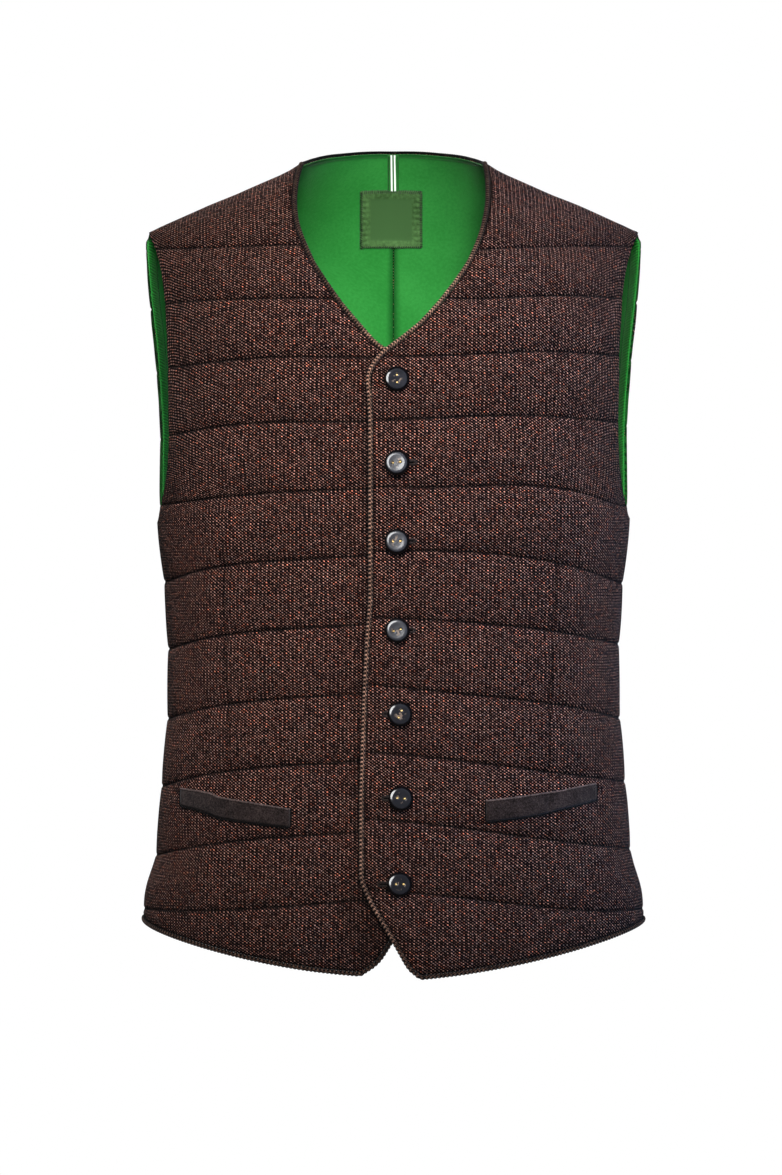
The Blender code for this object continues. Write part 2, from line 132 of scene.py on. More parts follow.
# %% The hem and the quilting lines
# Each row is one line's height at five places, from the front edge to the side seam, hem first.
LEFT_LINES = (
    (-638.6, -627.6, -614.8, -604.8, -600.4),
    (-572.7, -582.3, -590.0, -592.4, -594.6),
    (-517.5, -527.9, -537.1, -542.9, -547.0),
    (-465.6, -475.2, -483.7, -489.7, -493.1),
    (-412.8, -422.7, -430.1, -438.2, -441.9),
    (-361.2, -366.4, -373.4, -380.2, -382.8),
    (-309.8, -311.7, -320.6, -331.1, -334.2),
    (-259.8, -259.1, -260.1, -268.9, -272.3),
    (-208.8, -205.5, -204.4, -206.4, -207.2),
    (-159.3, -157.1, -154.3, -154.8, -154.6),
    (-113.8, -112.1, -109.6, -109.4, -108.9),
    (-74.2, -71.0, -68.8, -67.4, -67.0),
)
RIGHT_LINES = (
    (-636.2, -626.6, -614.6, -605.0, -599.6),
    (-578.2, -585.8, -590.6, -592.4, -594.2),
    (-525.7, -531.3, -538.0, -546.5, -551.4),
    (-469.9, -476.2, -482.4, -491.6, -496.0),
    (-417.8, -423.7, -429.7, -438.4, -442.0),
    (-364.2, -369.9, -375.2, -383.4, -386.3),
    (-311.4, -316.4, -321.6, -330.1, -332.5),
    (-261.0, -263.3, -266.8, -270.8, -272.4),
    (-208.3, -209.7, -210.5, -214.5, -218.5),
    (-159.3, -159.1, -160.1, -163.2, -164.8),
    (-112.9, -112.8, -112.6, -113.1, -114.2),
    (-70.3, -70.1, -70.0, -69.4, -68.6),
)
BACK_HEM_SIDE, BACK_HEM_MIDDLE = -596, -607
BACK_TOP = (0, 17, 34, 50, 63, NECK_HALF, 92, 112, 134, 157, 179, TIP_HALF)

# The darts that shape each waist: height and distance from the middle, from the hem up.
LEFT_DART = ((-600, 118), (-520, 119), (-440, 121), (-360, 124), (-300, 127), (-270, 128))
RIGHT_DART = ((-600, 124), (-520, 126), (-440, 128), (-360, 130.5), (-300, 132), (-270, 133))

BUTTONS = (
    # x, z, turn of the two holes in degrees, share of horn painted grey as a reflection of the light, ends of
    # the buttonhole from x
    (2.7, -176.6, 92, 0, -5, 7), (2.7, -241.2, 8, 1, -6, 13.4), (2.7, -302.0, 4, 1, -6, 12.9),
    (3.0, -371.2, 14, 1, -6, 12.1), (5.1, -436.3, 68, 0, -12.4, 6), (5.8, -501.6, -4, 0, -13.3, 6),
    (4.8, -568.0, 0, 0, -15.6, 6),
)

print("quilting lines on each front:", len(LEFT_LINES) - 1)

# %% [markdown]
# ## Reading the form
# Each helper takes whole arrays. Column values between two sections follow a smooth cubic, so the side
# seen against the light has no corners, and edge tables are read five times close together and averaged,
# which rounds their corners as a sewn and turned edge is rounded.

# %% Helpers that read the tables
def cubic(at, value, z):
    """A cubic through given places: at each one it passes the value with the mean slope there."""
    slope = np.gradient(value, at)
    z = np.clip(z, at[0], at[-1])
    i = np.clip(np.searchsorted(at, z) - 1, 0, len(at) - 2)
    h = at[i + 1] - at[i]
    t = (z - at[i]) / h
    ends = value[i] * (1 + 2 * t) * (1 - t) ** 2 + value[i + 1] * t * t * (3 - 2 * t)
    return ends + slope[i] * h * t * (1 - t) ** 2 + slope[i + 1] * h * t * t * (t - 1)


def smooth(z, column):
    """A column of SECTIONS read at height z along that cubic."""
    table = np.array(SECTIONS, float)
    return cubic(table[:, 0], table[:, column], z)


def along(table, z, spread=3.5):
    """The mean of five straight-line readings of a table, up to `spread` above and below z."""
    rows = np.array(table, float)
    shifts = spread * np.linspace(-1, 1, 5)
    return np.mean([np.interp(z + d, rows[:, 0], rows[:, 1]) for d in shifts], axis=0)


def shoulder(x):
    """The shoulder seam falls in a straight line outside the neck."""
    return -SLOPE * np.maximum(np.abs(x) - NECK_HALF, 0)


def back_top(x):
    """The back's upper edge: a flat arch over the neck, then the shoulder seam."""
    arch = NECK_RISE * (1 - np.minimum(np.abs(x) / NECK_HALF, 1) ** 2.6)
    return np.where(np.abs(x) < NECK_HALF, arch, shoulder(x))


def rounded(x, z, back):
    """A quarter circle: 0 on the shoulder seam, 1 where the form has its full depth."""
    top, height = shoulder(x), SHOULDER_FRONT
    if back:
        top = top + NECK_HOOD * (1 - np.minimum(np.abs(x) / NECK_HALF, 1) ** 1.6)
        height = SHOULDER_BACK
    return arc((top - z) / height)


def angle_of(x, z):
    """The angle from the middle at which the section at height z reaches x."""
    share = np.clip(np.abs(x) / smooth(z, 1), 0, 1)
    return np.arcsin(share ** (FORM_POWER / 2)) * np.sign(x)


def on_form(angle, z, back):
    """x = half sin^(1/1.2), y = depth cos^(1/1.2) rounded off towards the shoulder, at height z."""
    angle, z = np.broadcast_arrays(angle, z)
    x = smooth(z, 1) * np.abs(np.sin(angle)) ** (2 / FORM_POWER) * np.sign(angle)
    depth = smooth(z, 3 if back else 2) * np.abs(np.cos(angle)) ** (2 / FORM_POWER)
    y = np.maximum(depth * rounded(x, z, back), SEAM_GAP / 2) * (1 if back else -1)
    return np.stack([x, y, z], axis=-1)


def normals_of(points):
    """Unit normals of a grid: the cross product of its two directions, turned away from the body."""
    n = np.cross(np.gradient(points, axis=1), np.gradient(points, axis=0))
    n /= np.linalg.norm(n, axis=2, keepdims=True) + 1e-12
    return n * np.sign(np.sum(n * (points * (1, 1, 0) + (0, 0, 60)), axis=2, keepdims=True))


def smoothstep(t):
    """3 t^2 - 2 t^3: a soft step from 0 to 1."""
    t = np.clip(t, 0, 1)
    return t * t * (3 - 2 * t)


def arc(t):
    """A quarter circle, sqrt(1 - (1 - t)^2): steep at 0, level from 1 on."""
    return np.sqrt(1 - (1 - np.clip(t, 0, 1)) ** 2)


def bell(off, width, power=2):
    """exp(-(off / width)^power): 1 in the middle, about a third one width away."""
    return np.exp(-((off / width) ** power))


def laid_over(*shades):
    """Shades between 0 and 1 laid over each other: 1 minus the product of what each lets through."""
    clear = 1
    for shade in shades:
        clear = clear * (1 - shade)
    return 1 - clear


def overlap_share(x):
    """1 where the fronts lap over each other, 0 from OVERLAP_END off the middle."""
    return smoothstep((OVERLAP_END - np.abs(x)) / OVERLAP_FADE)


def ripple(t, wave, seed):
    """Uneven waves between -1 and 1: four sines near one wavelength with drawn phases."""
    draw = np.random.default_rng(seed)
    total = 0
    for _ in range(4):
        total = total + np.sin(2 * np.pi * t / (wave * draw.uniform(0.7, 1.6)) + draw.uniform(0, 6.3))
    return total / 2.6


def run_of(points, axis):
    """Distance travelled along one direction of a grid, starting at 0."""
    step = np.linalg.norm(np.diff(points, axis=axis), axis=2)
    start = np.zeros_like(np.take(step, [0], axis=axis))
    return np.concatenate([start, np.cumsum(step, axis=axis)], axis=axis)


# %% [markdown]
# ## Meshes from arrays
# A panel of cloth is a closed shell: an outer grid, an inner grid at half its resolution, and a rim that
# joins them. Building both faces, and not one with a Solidify modifier, lets the inside be plain lining
# while the outside is quilted.

# %% Helpers that make meshes
def quads(rows, columns, start=0):
    """Corner numbers of every cell of a grid, going round each cell the same way."""
    at = start + np.arange(rows * columns).reshape(rows, columns)
    return np.stack([at[:-1, :-1], at[:-1, 1:], at[1:, 1:], at[1:, :-1]], axis=-1).reshape(-1, 4)


def ring_quads(at):
    """Corner numbers of every cell of a grid whose last column joins its first."""
    after = np.roll(at, -1, axis=-1)
    cells = (at[..., :-1, :], after[..., :-1, :], after[..., 1:, :], at[..., 1:, :])
    return np.stack(cells, axis=-1).reshape(-1, 4)


def bridge(fine, coarse, flip):
    """Triangles between a run of 2n + 1 points and one of n + 1 points."""
    a, b, c = fine[:-2:2], fine[1::2], fine[2::2]
    low, high = coarse[:-1], coarse[1:]
    faces = np.concatenate([np.stack(f, axis=-1) for f in ((a, b, low), (b, high, low), (b, c, high))])
    return faces[:, ::-1] if flip else faces


def facing_out(points, faces):
    """True if the faces point out of the closed mesh: the volume under them adds up to more than 0."""
    total = 0
    for group in faces:
        for i in range(1, group.shape[1] - 1):
            a, b, c = (points[group[:, k]] for k in (0, i, i + 1))
            total += np.sum(a * np.cross(b, c))
    return total > 0


def make(name, points, faces, materials, slots=None, uv=None, shade=None):
    """A smooth mesh object at the origin, from points in millimetres and lists of face arrays.

    uv and shade hold a value for each point: its place on the flat cloth, and how much painted shade it takes
    in a crease.
    """
    if not facing_out(points, faces):
        faces = [group[:, ::-1] for group in faces]
    mesh = bpy.data.meshes.new(name)
    mesh.from_pydata((points * MM).tolist(), [], [f for group in faces for f in group.tolist()])
    for cloth in materials:
        mesh.materials.append(cloth)
    if slots is not None:
        mesh.polygons.foreach_set("material_index", np.asarray(slots, np.int32))
    if uv is not None:
        layer = mesh.uv_layers.new(name="cut")
        corner = np.zeros(len(mesh.loops), np.int32)
        mesh.loops.foreach_get("vertex_index", corner)
        layer.data.foreach_set("uv", (uv * MM)[corner].ravel().astype(np.float32))
    # the attribute holds painted shade for the creases, read by the cloth materials
    if shade is not None:
        layer = mesh.attributes.new("crease", "FLOAT", "POINT")
        layer.data.foreach_set("value", shade.astype(np.float32))
    mesh.shade_smooth()
    mesh.update()
    piece = bpy.data.objects.new(name, mesh)
    bpy.context.scene.collection.objects.link(piece)
    return piece


def shell(name, outer, inner, materials, uv, bound=None, rim_turned=None, shade=None):
    """A closed wall: outer grid, rim, and inner grid with every second row and column.

    materials are those of the outside, the rim and the inside. `bound` holds slots for outer cells, and
    rim faces whose middle is a `rim_turned` place take the fourth material.
    """
    rows, columns = outer.shape[:2]
    low_rows, low_columns = inner.shape[:2]
    start = rows * columns
    out = np.arange(start).reshape(rows, columns)
    ins = start + np.arange(low_rows * low_columns).reshape(low_rows, low_columns)
    rim = np.concatenate([
        bridge(out[0], ins[0], True), bridge(out[-1], ins[-1], False),
        bridge(out[:, 0], ins[:, 0], False), bridge(out[:, -1], ins[:, -1], True),
    ])
    faces = [quads(rows, columns), rim, quads(low_rows, low_columns, start)[:, ::-1]]
    slots = np.concatenate([np.full(len(group), k) for k, group in enumerate(faces)])
    if bound is not None:
        slots[: bound.size] = bound.ravel()
    points = np.concatenate([outer.reshape(-1, 3), inner.reshape(-1, 3)])
    if rim_turned is not None:
        turned = rim_turned(points[rim].mean(axis=1))
        slots[len(faces[0]) : len(faces[0]) + len(rim)][turned] = 3
    uv_all = np.concatenate([uv.reshape(-1, 2), uv[::2, ::2].reshape(-1, 2)])
    if shade is not None:
        shade = np.concatenate([shade.ravel(), 0 * shade[::2, ::2].ravel()])
    piece = make(name, points, faces, materials, slots, uv_all, shade)
    print(name, len(piece.data.vertices), "points")
    return piece


def ridden(piece, slot, *nodes):
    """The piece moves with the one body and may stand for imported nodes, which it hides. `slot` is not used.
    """
    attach(piece, "root")
    if nodes:
        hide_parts(*nodes)
    return piece


# %% [markdown]
# ## Cloth, horn and thread
# A material is a small network of nodes. The knit look of the tweed is needed at two pitches, on the
# panels and on their turned edges, and a plain fine weave on the lining, facing, label and tape. So each
# is a node group that puts out a height and values that vary, and the shader stays in the material.
# Patterns follow each piece's own cut: its UV map holds metres along and across the cloth.

# %% Helpers that build node networks
def socket(tree, value, target):
    """Joins another node's output to a socket, or sets the socket to a number or colour."""
    if isinstance(value, bpy.types.NodeSocket):
        tree.links.new(value, target)
    else:
        target.default_value = value


def calc(tree, operation, *values):
    """One Math node; its output."""
    node = tree.nodes.new("ShaderNodeMath")
    node.operation = operation
    for k, value in enumerate(values):
        socket(tree, value, node.inputs[k])
    return node.outputs[0]


def fade(tree, value, low, high, out_low=0.0, out_high=1.0):
    """A smooth step of value from low to high."""
    node = tree.nodes.new("ShaderNodeMapRange")
    node.interpolation_type = "SMOOTHSTEP"
    for k, v in enumerate((value, low, high, out_low, out_high)):
        socket(tree, v, node.inputs[k])
    return node.outputs[0]


def noise(tree, place, scale, detail=2.0, rough=0.5):
    """A Noise Texture of that scale; its value."""
    node = tree.nodes.new("ShaderNodeTexNoise")
    socket(tree, place, node.inputs["Vector"])
    node.inputs["Scale"].default_value = scale
    node.inputs["Detail"].default_value = detail
    node.inputs["Roughness"].default_value = rough
    return node.outputs["Fac"]


def drawn(tree, *parts):
    """A random value for each whole-numbered cell."""
    join = tree.nodes.new("ShaderNodeCombineXYZ")
    for k, part in enumerate(parts):
        socket(tree, part, join.inputs[k])
    node = tree.nodes.new("ShaderNodeTexWhiteNoise")
    node.noise_dimensions = "3D"
    tree.links.new(join.outputs[0], node.inputs["Vector"])
    return node.outputs["Value"]


def colours(tree, value, *stops):
    """A colour ramp through (place, red, green, blue) stops."""
    node = tree.nodes.new("ShaderNodeValToRGB")
    bar = node.color_ramp.elements
    while len(bar) < len(stops):
        bar.new(0.5)
    for element, (place, *rgb) in zip(bar, stops):
        element.position, element.color = place, (*rgb, 1)
    socket(tree, value, node.inputs[0])
    return node.outputs[0]


def blend(tree, share, under, over, mode="MIX"):
    """One colour laid over another by a share."""
    node = tree.nodes.new("ShaderNodeMix")
    node.data_type, node.blend_type = "RGBA", mode
    for key, value in ((0, share), (6, under), (7, over)):
        value = (*value, 1) if isinstance(value, tuple) else value
        socket(tree, value, node.inputs[key])
    return node.outputs[2]


def split(tree, vector):
    """The three parts of a vector."""
    node = tree.nodes.new("ShaderNodeSeparateXYZ")
    tree.links.new(vector, node.inputs[0])
    return node.outputs[0], node.outputs[1], node.outputs[2]


def cut_place(tree):
    """The piece's own UV map, in metres along and across its cloth."""
    node = tree.nodes.new("ShaderNodeUVMap")
    node.uv_map = "cut"
    return node.outputs[0]


def painted_crease_shade(tree):
    """The piece's own attribute of painted shade: how much each point is darkened in its creases; 0 where
    there is none.
    """
    node = tree.nodes.new("ShaderNodeAttribute")
    node.attribute_name = "crease"
    return node.outputs["Fac"]


def object_place(tree):
    """The place on the piece in metres, as every piece stands at the origin."""
    return tree.nodes.new("ShaderNodeTexCoord").outputs["Object"]


def new_group(name, inputs, outputs):
    """An empty node group; its tree, the group's input sockets by name, and its output node."""
    tree = bpy.data.node_groups.new(name, "ShaderNodeTree")
    for key, kind in inputs:
        tree.interface.new_socket(name=key, in_out="INPUT", socket_type=kind)
    for key, kind in outputs:
        tree.interface.new_socket(name=key, in_out="OUTPUT", socket_type=kind)
    return tree, tree.nodes.new("NodeGroupInput").outputs, tree.nodes.new("NodeGroupOutput").inputs


def placed(tree, group, **values):
    """One use of a node group in a material; its outputs."""
    node = tree.nodes.new("ShaderNodeGroup")
    node.node_tree = group
    for key, value in values.items():
        socket(tree, value, node.inputs[key.replace("_", " ")])
    return node.outputs


def material(name, roughness, specular=0.3, **constants):
    """A material with one Principled shader; its tree and the shader's inputs."""
    made = bpy.data.materials.new(name)
    made.use_nodes = True
    tree = made.node_tree
    shader = tree.nodes["Principled BSDF"].inputs
    shader["Roughness"].default_value = roughness
    shader["Specular IOR Level"].default_value = specular
    for key, value in constants.items():
        shader[key.replace("_", " ")].default_value = value
    return made, tree, shader


def raise_by(tree, shader, height, distance, strength=1.0):
    """A Bump node from a height between 0 and 1, `distance` metres deep."""
    node = tree.nodes.new("ShaderNodeBump")
    node.inputs["Strength"].default_value = strength
    node.inputs["Distance"].default_value = distance
    tree.links.new(height, node.inputs["Height"])
    tree.links.new(node.outputs[0], shader["Normal"])


# %% [markdown]
# ### The knit look
# Close up, the tweed stands in upright wales 3.2 mm wide with a stitch every 2.3 mm. Most yarn leans down
# to the right, some leans back, and near-black gaps lie between. Counted in wales u and rows v, that is a
# sum of four cosine waves: over u + v, over u, over v - u and over v. Where they agree a stitch stands
# up. Two slow noises bend the wales and rows a little. Each leaning stitch is one cell, half a wale wide,
# that draws its own tone, and a few are flecks of rust or slate.

# %% The knit group
KNIT_WAVES, KNIT_REST = (0.63, 0.275, 0.345, -0.07), 0.06
TURN = 2 * math.pi


def knit_group():
    """Rise = KNIT_REST + the sum of share * cos(2 pi phase), no less than 0; tone and fleck by cell."""
    tree, given, out = new_group(
        "knit stitches",
        (("Place", "NodeSocketVector"), ("Width", "NodeSocketFloat"), ("Height", "NodeSocketFloat")),
        (("Rise", "NodeSocketFloat"), ("Tone", "NodeSocketFloat"), ("Fleck", "NodeSocketFloat")),
    )
    x, y, _ = split(tree, given["Place"])
    drift = calc(tree, "MULTIPLY_ADD", noise(tree, given["Place"], 90, 2.0), 0.8, -0.4)
    sway = calc(tree, "MULTIPLY_ADD", noise(tree, given["Place"], 40, 2.0), 1.3, -0.65)
    u = calc(tree, "ADD", calc(tree, "DIVIDE", x, given["Width"]), drift)
    v = calc(tree, "ADD", calc(tree, "DIVIDE", y, given["Height"]), sway)
    leaning, rise = calc(tree, "ADD", u, v), KNIT_REST
    for phase, share in zip((leaning, u, calc(tree, "SUBTRACT", v, u), v), KNIT_WAVES):
        wave = calc(tree, "COSINE", calc(tree, "MULTIPLY", phase, TURN))
        rise = calc(tree, "MULTIPLY_ADD", wave, share, rise)
    half = calc(tree, "FLOOR", calc(tree, "MULTIPLY_ADD", u, 2.0, 0.5))
    row = calc(tree, "FLOOR", calc(tree, "ADD", leaning, 0.5))
    tree.links.new(calc(tree, "MAXIMUM", rise, 0.0), out["Rise"])
    tree.links.new(drawn(tree, half, row, 1.0), out["Tone"])
    tree.links.new(drawn(tree, half, row, 7.0), out["Fleck"])
    return tree


KNIT = knit_group()

# %% The fine weave group
def weave_group():
    """Plain weave: threads over and under, from the product of two sine waves, with a little slub."""
    tree, given, out = new_group(
        "fine weave",
        (("Place", "NodeSocketVector"), ("Pitch", "NodeSocketFloat")),
        (("Rise", "NodeSocketFloat"), ("Slub", "NodeSocketFloat")),
    )
    x, y, _ = split(tree, given["Place"])
    waves = []
    for part in (x, y):
        turns = calc(tree, "MULTIPLY", calc(tree, "DIVIDE", part, given["Pitch"]), TURN)
        waves.append(calc(tree, "SINE", turns))
    rise = calc(tree, "MULTIPLY_ADD", calc(tree, "MULTIPLY", *waves), 0.5, 0.5)
    tree.links.new(rise, out["Rise"])
    tree.links.new(noise(tree, given["Place"], 420, 3.0, 0.6), out["Slub"])
    return tree


WEAVE = weave_group()

# %% Tweed
YARN_STOPS = (
    # place on the ramp, from the gap between stitches to the top of the yarn, and its red, green and blue
    (0.0, 0.002, 0.001, 0.001), (0.2, 0.005, 0.0022, 0.0022), (0.45, 0.06, 0.026, 0.021),
    (0.7, 0.36, 0.172, 0.132), (1.0, 0.98, 0.52, 0.39),
)


def tweed(name, width, height, bright=1.0):
    """Brown knit-look tweed: the knit's rise times its tone, with loose fibre, read from YARN_STOPS scaled by
    `bright`; a `bright` below 1 makes a darker copy as painted shade.

    Clouds and the slub of the yarn darken or lighten that colour, and the painted crease shade darkens it.
    """
    made, tree, shader = material(name, 0.95, 0.08, Sheen_Weight=0.03, Sheen_Roughness=0.6)
    place = cut_place(tree)
    knit = placed(tree, KNIT, Place=place, Width=width * MM, Height=height * MM)
    cloud = calc(tree, "MULTIPLY_ADD", noise(tree, place, 26, 3.0), 0.3, 0.85)
    slub = calc(tree, "MULTIPLY_ADD", noise(tree, place, 420, 2.0), 2.4, -0.2)
    cloud = calc(tree, "MULTIPLY", cloud, slub)
    # painted shade: the crease attribute darkens the cloth in its creases
    cloud = calc(tree, "MULTIPLY", cloud, calc(tree, "SUBTRACT", 1.0, painted_crease_shade(tree)))
    tone = calc(tree, "MULTIPLY_ADD", knit["Tone"], 0.66, 0.67)
    fibre = calc(tree, "MULTIPLY_ADD", noise(tree, place, 800, 2.0, 0.6), 0.6, -0.3)
    value = calc(tree, "MULTIPLY_ADD", knit["Rise"], tone, fibre)
    stops = [(at, *(bright * part for part in rgb)) for at, *rgb in YARN_STOPS]
    yarn = colours(tree, value, *stops)
    rust = fade(tree, knit["Fleck"], 0.8, 0.98)
    slate = fade(tree, knit["Fleck"], 0.34, 0.05)
    yarn = blend(tree, rust, yarn, (1.45, 0.98, 0.78), "MULTIPLY")
    yarn = blend(tree, slate, yarn, (0.76, 0.9, 1.0), "MULTIPLY")
    shade = tree.nodes.new("ShaderNodeCombineColor")
    for k in range(3):
        tree.links.new(cloud, shade.inputs[k])
    tree.links.new(blend(tree, 1.0, yarn, shade.outputs[0], "MULTIPLY"), shader["Base Color"])
    raise_by(tree, shader, value, 0.8 * MM, 0.8)
    return made


TWEED = tweed("tweed_knit", 3.2, 2.3)
# the turned edges take a darker copy of the tweed with a finer knit: the darkness is painted shade
TWEED_EDGE_SHADED = tweed("tweed_turned_edge", 2.4, 1.7, 0.6)

# %% Lining, label and tape
def woven(name, deep, light, pitch, roughness, pattern=None):
    """A plain woven cloth between two greens, with slow clouds and the slub of its own yarn, and painted
    shade where its crease attribute is set.
    """
    made, tree, shader = material(name, roughness, 0.12, Sheen_Weight=0.04, Sheen_Roughness=0.4)
    place = cut_place(tree)
    weave = placed(tree, WEAVE, Place=place, Pitch=pitch * MM)
    cloud = noise(tree, place, 22, 2.0)
    tone = calc(tree, "MULTIPLY_ADD", weave["Slub"], 0.5, calc(tree, "MULTIPLY", cloud, 0.5))
    base = blend(tree, fade(tree, tone, 0.3, 0.7), deep, light)
    if pattern:
        base = pattern(tree, place, base)
    # painted shade: the crease attribute darkens the cloth towards near-black green
    base = blend(tree, painted_crease_shade(tree), base, (0.0, 0.02, 0.003))
    tree.links.new(base, shader["Base Color"])
    raise_by(tree, shader, calc(tree, "ADD", weave["Rise"], weave["Slub"]), 0.12 * MM, 0.5)
    return made


def two_stripes(tree, place, base):
    """Two white stripes, 1.5 mm to each side of U = 0."""
    x, _, _ = split(tree, place)
    off = calc(tree, "ABSOLUTE", calc(tree, "SUBTRACT", calc(tree, "ABSOLUTE", x), 1.48 * MM))
    return blend(tree, fade(tree, off, 0.85 * MM, 0.62 * MM), base, (0.78, 0.83, 0.76))


def bare_middle(tree, place, base):
    """The label's woven square is darker than the turned border round it, and carries nothing."""
    x, y, _ = split(tree, place)
    edges = []
    for part, half in ((x, 17.5), (y, 16.5)):
        edges.append(calc(tree, "DIVIDE", calc(tree, "ABSOLUTE", part), half * MM))
    inside = fade(tree, calc(tree, "MAXIMUM", *edges), 1.05, 0.95)
    return blend(tree, inside, base, (0.038, 0.092, 0.029))


RIB_PITCH = 2.3


def ribbed(tree, place, base):
    """Painted shade darkens the facing between its ribs, where cos(2 pi U / RIB_PITCH) is low, most near the
    armhole.
    """
    x, y, _ = split(tree, place)
    crest = calc(tree, "COSINE", calc(tree, "MULTIPLY", x, TURN / (RIB_PITCH * MM)))
    between, near = fade(tree, crest, 0.4, -0.8, 0.0, 0.9), fade(tree, y, 11 * MM, 4 * MM, 0.25)
    return blend(tree, calc(tree, "MULTIPLY", between, near), base, (0.002, 0.03, 0.004))


LINING_GREEN = woven("lining_cotton", (0.0145, 0.146, 0.022), (0.025, 0.2, 0.035), 0.45, 0.62)
FACING_GREEN = woven("lining_facing", (0.01, 0.12, 0.014), (0.024, 0.23, 0.032), 0.45, 0.6, ribbed)
LABEL_GREEN = woven("label_cloth", (0.024, 0.062, 0.017), (0.068, 0.15, 0.048), 0.7, 0.8, bare_middle)
TAPE_GREEN = woven("striped_tape", (0.012, 0.1, 0.016), (0.02, 0.15, 0.026), 0.6, 0.8, two_stripes)

# %% Cord, felt and thread
def twisted(name, dark, light):
    """Yarn of a two-ply cord: U holds turns of the ply, so the groove is dark; V is the share of painted
    light, which brightens it.
    """
    made, tree, shader = material(name, 0.9, 0.12, Sheen_Weight=0.15)
    place = cut_place(tree)
    x, y, _ = split(tree, place)
    turn = calc(tree, "MULTIPLY", x, TURN / MM)
    crest = calc(tree, "POWER", calc(tree, "MULTIPLY_ADD", calc(tree, "COSINE", turn), 0.5, 0.5), 2.6)
    bead = calc(tree, "FLOOR", calc(tree, "ADD", calc(tree, "DIVIDE", x, MM), 0.5))
    tone = calc(tree, "MULTIPLY_ADD", drawn(tree, bead, 3.0, 5.0), 0.7, 0.55)
    hair = calc(tree, "MULTIPLY_ADD", noise(tree, object_place(tree), 2300, 2.0, 0.7), 0.9, 0.55)
    value = calc(tree, "MULTIPLY", calc(tree, "MULTIPLY", crest, tone), hair)
    # painted light: V scales how bright the yarn is
    value = calc(tree, "MULTIPLY", value, calc(tree, "DIVIDE", y, MM))
    middle = tuple((a + b) * 0.36 for a, b in zip(dark, light))
    stops = ((0.0, *dark), (0.4, *middle), (1.0, *light))
    tree.links.new(colours(tree, value, *stops), shader["Base Color"])
    raise_by(tree, shader, hair, 0.25 * MM, 0.6)
    return made


def felted(name, dark, light, scale, depth, spread=0.22):
    """Matted fibre: two noises of different size between two colours; a small spread parts them more."""
    made, tree, shader = material(name, 0.95, 0.1, Sheen_Weight=0.2, Sheen_Roughness=0.5)
    place = object_place(tree)
    fine = noise(tree, place, scale, 4.0, 0.75)
    slow = noise(tree, place, scale / 9, 2.0)
    value = calc(tree, "MULTIPLY_ADD", fine, 0.75, calc(tree, "MULTIPLY", slow, 0.25))
    middle = tuple((a + b) / 2.6 for a, b in zip(dark, light))
    stops = ((0.5 - spread, *dark), (0.5, *middle), (0.5 + spread, *light))
    tree.links.new(colours(tree, value, *stops), shader["Base Color"])
    raise_by(tree, shader, fine, depth * MM, 0.8)
    return made


PIPING_CORD = twisted("piping_cord", (0.003, 0.0018, 0.0014), (0.86, 0.5, 0.34))
# the welt's lip is a lighter copy of the felt: painted highlight where the turned top catches the light
WELT_LIP_HIGHLIGHTED = felted("welt_lip", (0.03, 0.021, 0.019), (0.27, 0.2, 0.18), 800, 0.5, 0.12)
# the back neck's cord is the piping cord painted much darker: painted shade
NECK_RIM_SHADED = twisted("neck_rim_cord", (0.003, 0.002, 0.002), (0.035, 0.022, 0.017))
FELT = felted("welt_felt", (0.004, 0.0026, 0.0023), (0.085, 0.062, 0.057), 800, 0.6, 0.12)
THREAD_BROWN = felted("quilting_thread", (0.01, 0.006, 0.005), (0.035, 0.02, 0.016), 2500, 0.2)
THREAD_GREY = felted("buttonhole_thread", (0.012, 0.009, 0.0085), (0.075, 0.055, 0.05), 2500, 0.2)
THREAD_GREEN = felted("lining_thread", (0.002, 0.022, 0.004), (0.008, 0.07, 0.012), 2500, 0.2)
THREAD_GOLD = felted("button_thread", (0.85, 0.55, 0.15), (1.0, 0.78, 0.34), 2500, 0.2)
THREAD_DARK = felted("label_thread", (0.002, 0.006, 0.003), (0.01, 0.03, 0.012), 2500, 0.2)
# near-black felt that stands for shadow: in the buttonhole slits and along the welts' seams
SHADOW_BLACK = felted("buttonhole_slit", (0.0015, 0.001, 0.001), (0.004, 0.003, 0.003), 2500, 0.1)

# %% Horn
def horn(name, base, roughness):
    """Dark horn with cloudy cream veins that gather near the two holes, and a rim painted black as shade."""
    made, tree, shader = material(name, roughness, 0.6, Coat_Weight=0.6, Coat_Roughness=0.08)
    place = object_place(tree)
    x, y, _ = split(tree, cut_place(tree))
    radius = calc(tree, "SQRT", calc(tree, "ADD", calc(tree, "MULTIPLY", x, x), calc(tree, "MULTIPLY", y, y)))
    near = fade(tree, radius, 5.6 * MM, 2.2 * MM)
    vein = fade(tree, noise(tree, place, 300, 3.0, 0.55), 0.54, 0.6)
    streak = fade(tree, noise(tree, place, 60, 3.0, 0.6), 0.45, 0.7)
    share = calc(tree, "MULTIPLY", calc(tree, "MULTIPLY", vein, near), 0.8)
    cloudy = blend(tree, streak, base, tuple(c * 1.6 for c in base))
    # painted shade: the rim is painted near-black where the side turns away from the light
    rim = fade(tree, radius, 7.2 * MM, 8.4 * MM)
    cloudy = blend(tree, rim, cloudy, (0.003, 0.003, 0.004))
    tree.links.new(blend(tree, share, cloudy, (0.42, 0.33, 0.25)), shader["Base Color"])
    raise_by(tree, shader, noise(tree, place, 900, 2.0), 0.02 * MM, 0.3)
    return made


HORN_BLACK = horn("horn_black", (0.028, 0.031, 0.038), 0.16)
# a lighter copy of the horn: painted reflection of the light on the buttons that lean towards it
HORN_PAINTED_GREY = horn("horn_grey", (0.05, 0.056, 0.068), 0.27)
print("materials:", len(bpy.data.materials))

# %% [markdown]
# ## The quilted panels
# Wadding between two cloths is held down along each stitched line, so the cloth stands up as a soft roll
# between the lines, drops into a narrow crease on the line, and puckers a little beside it. All of this
# is one height above the form, measured along its normal, on a grid whose rows crowd near the lines.

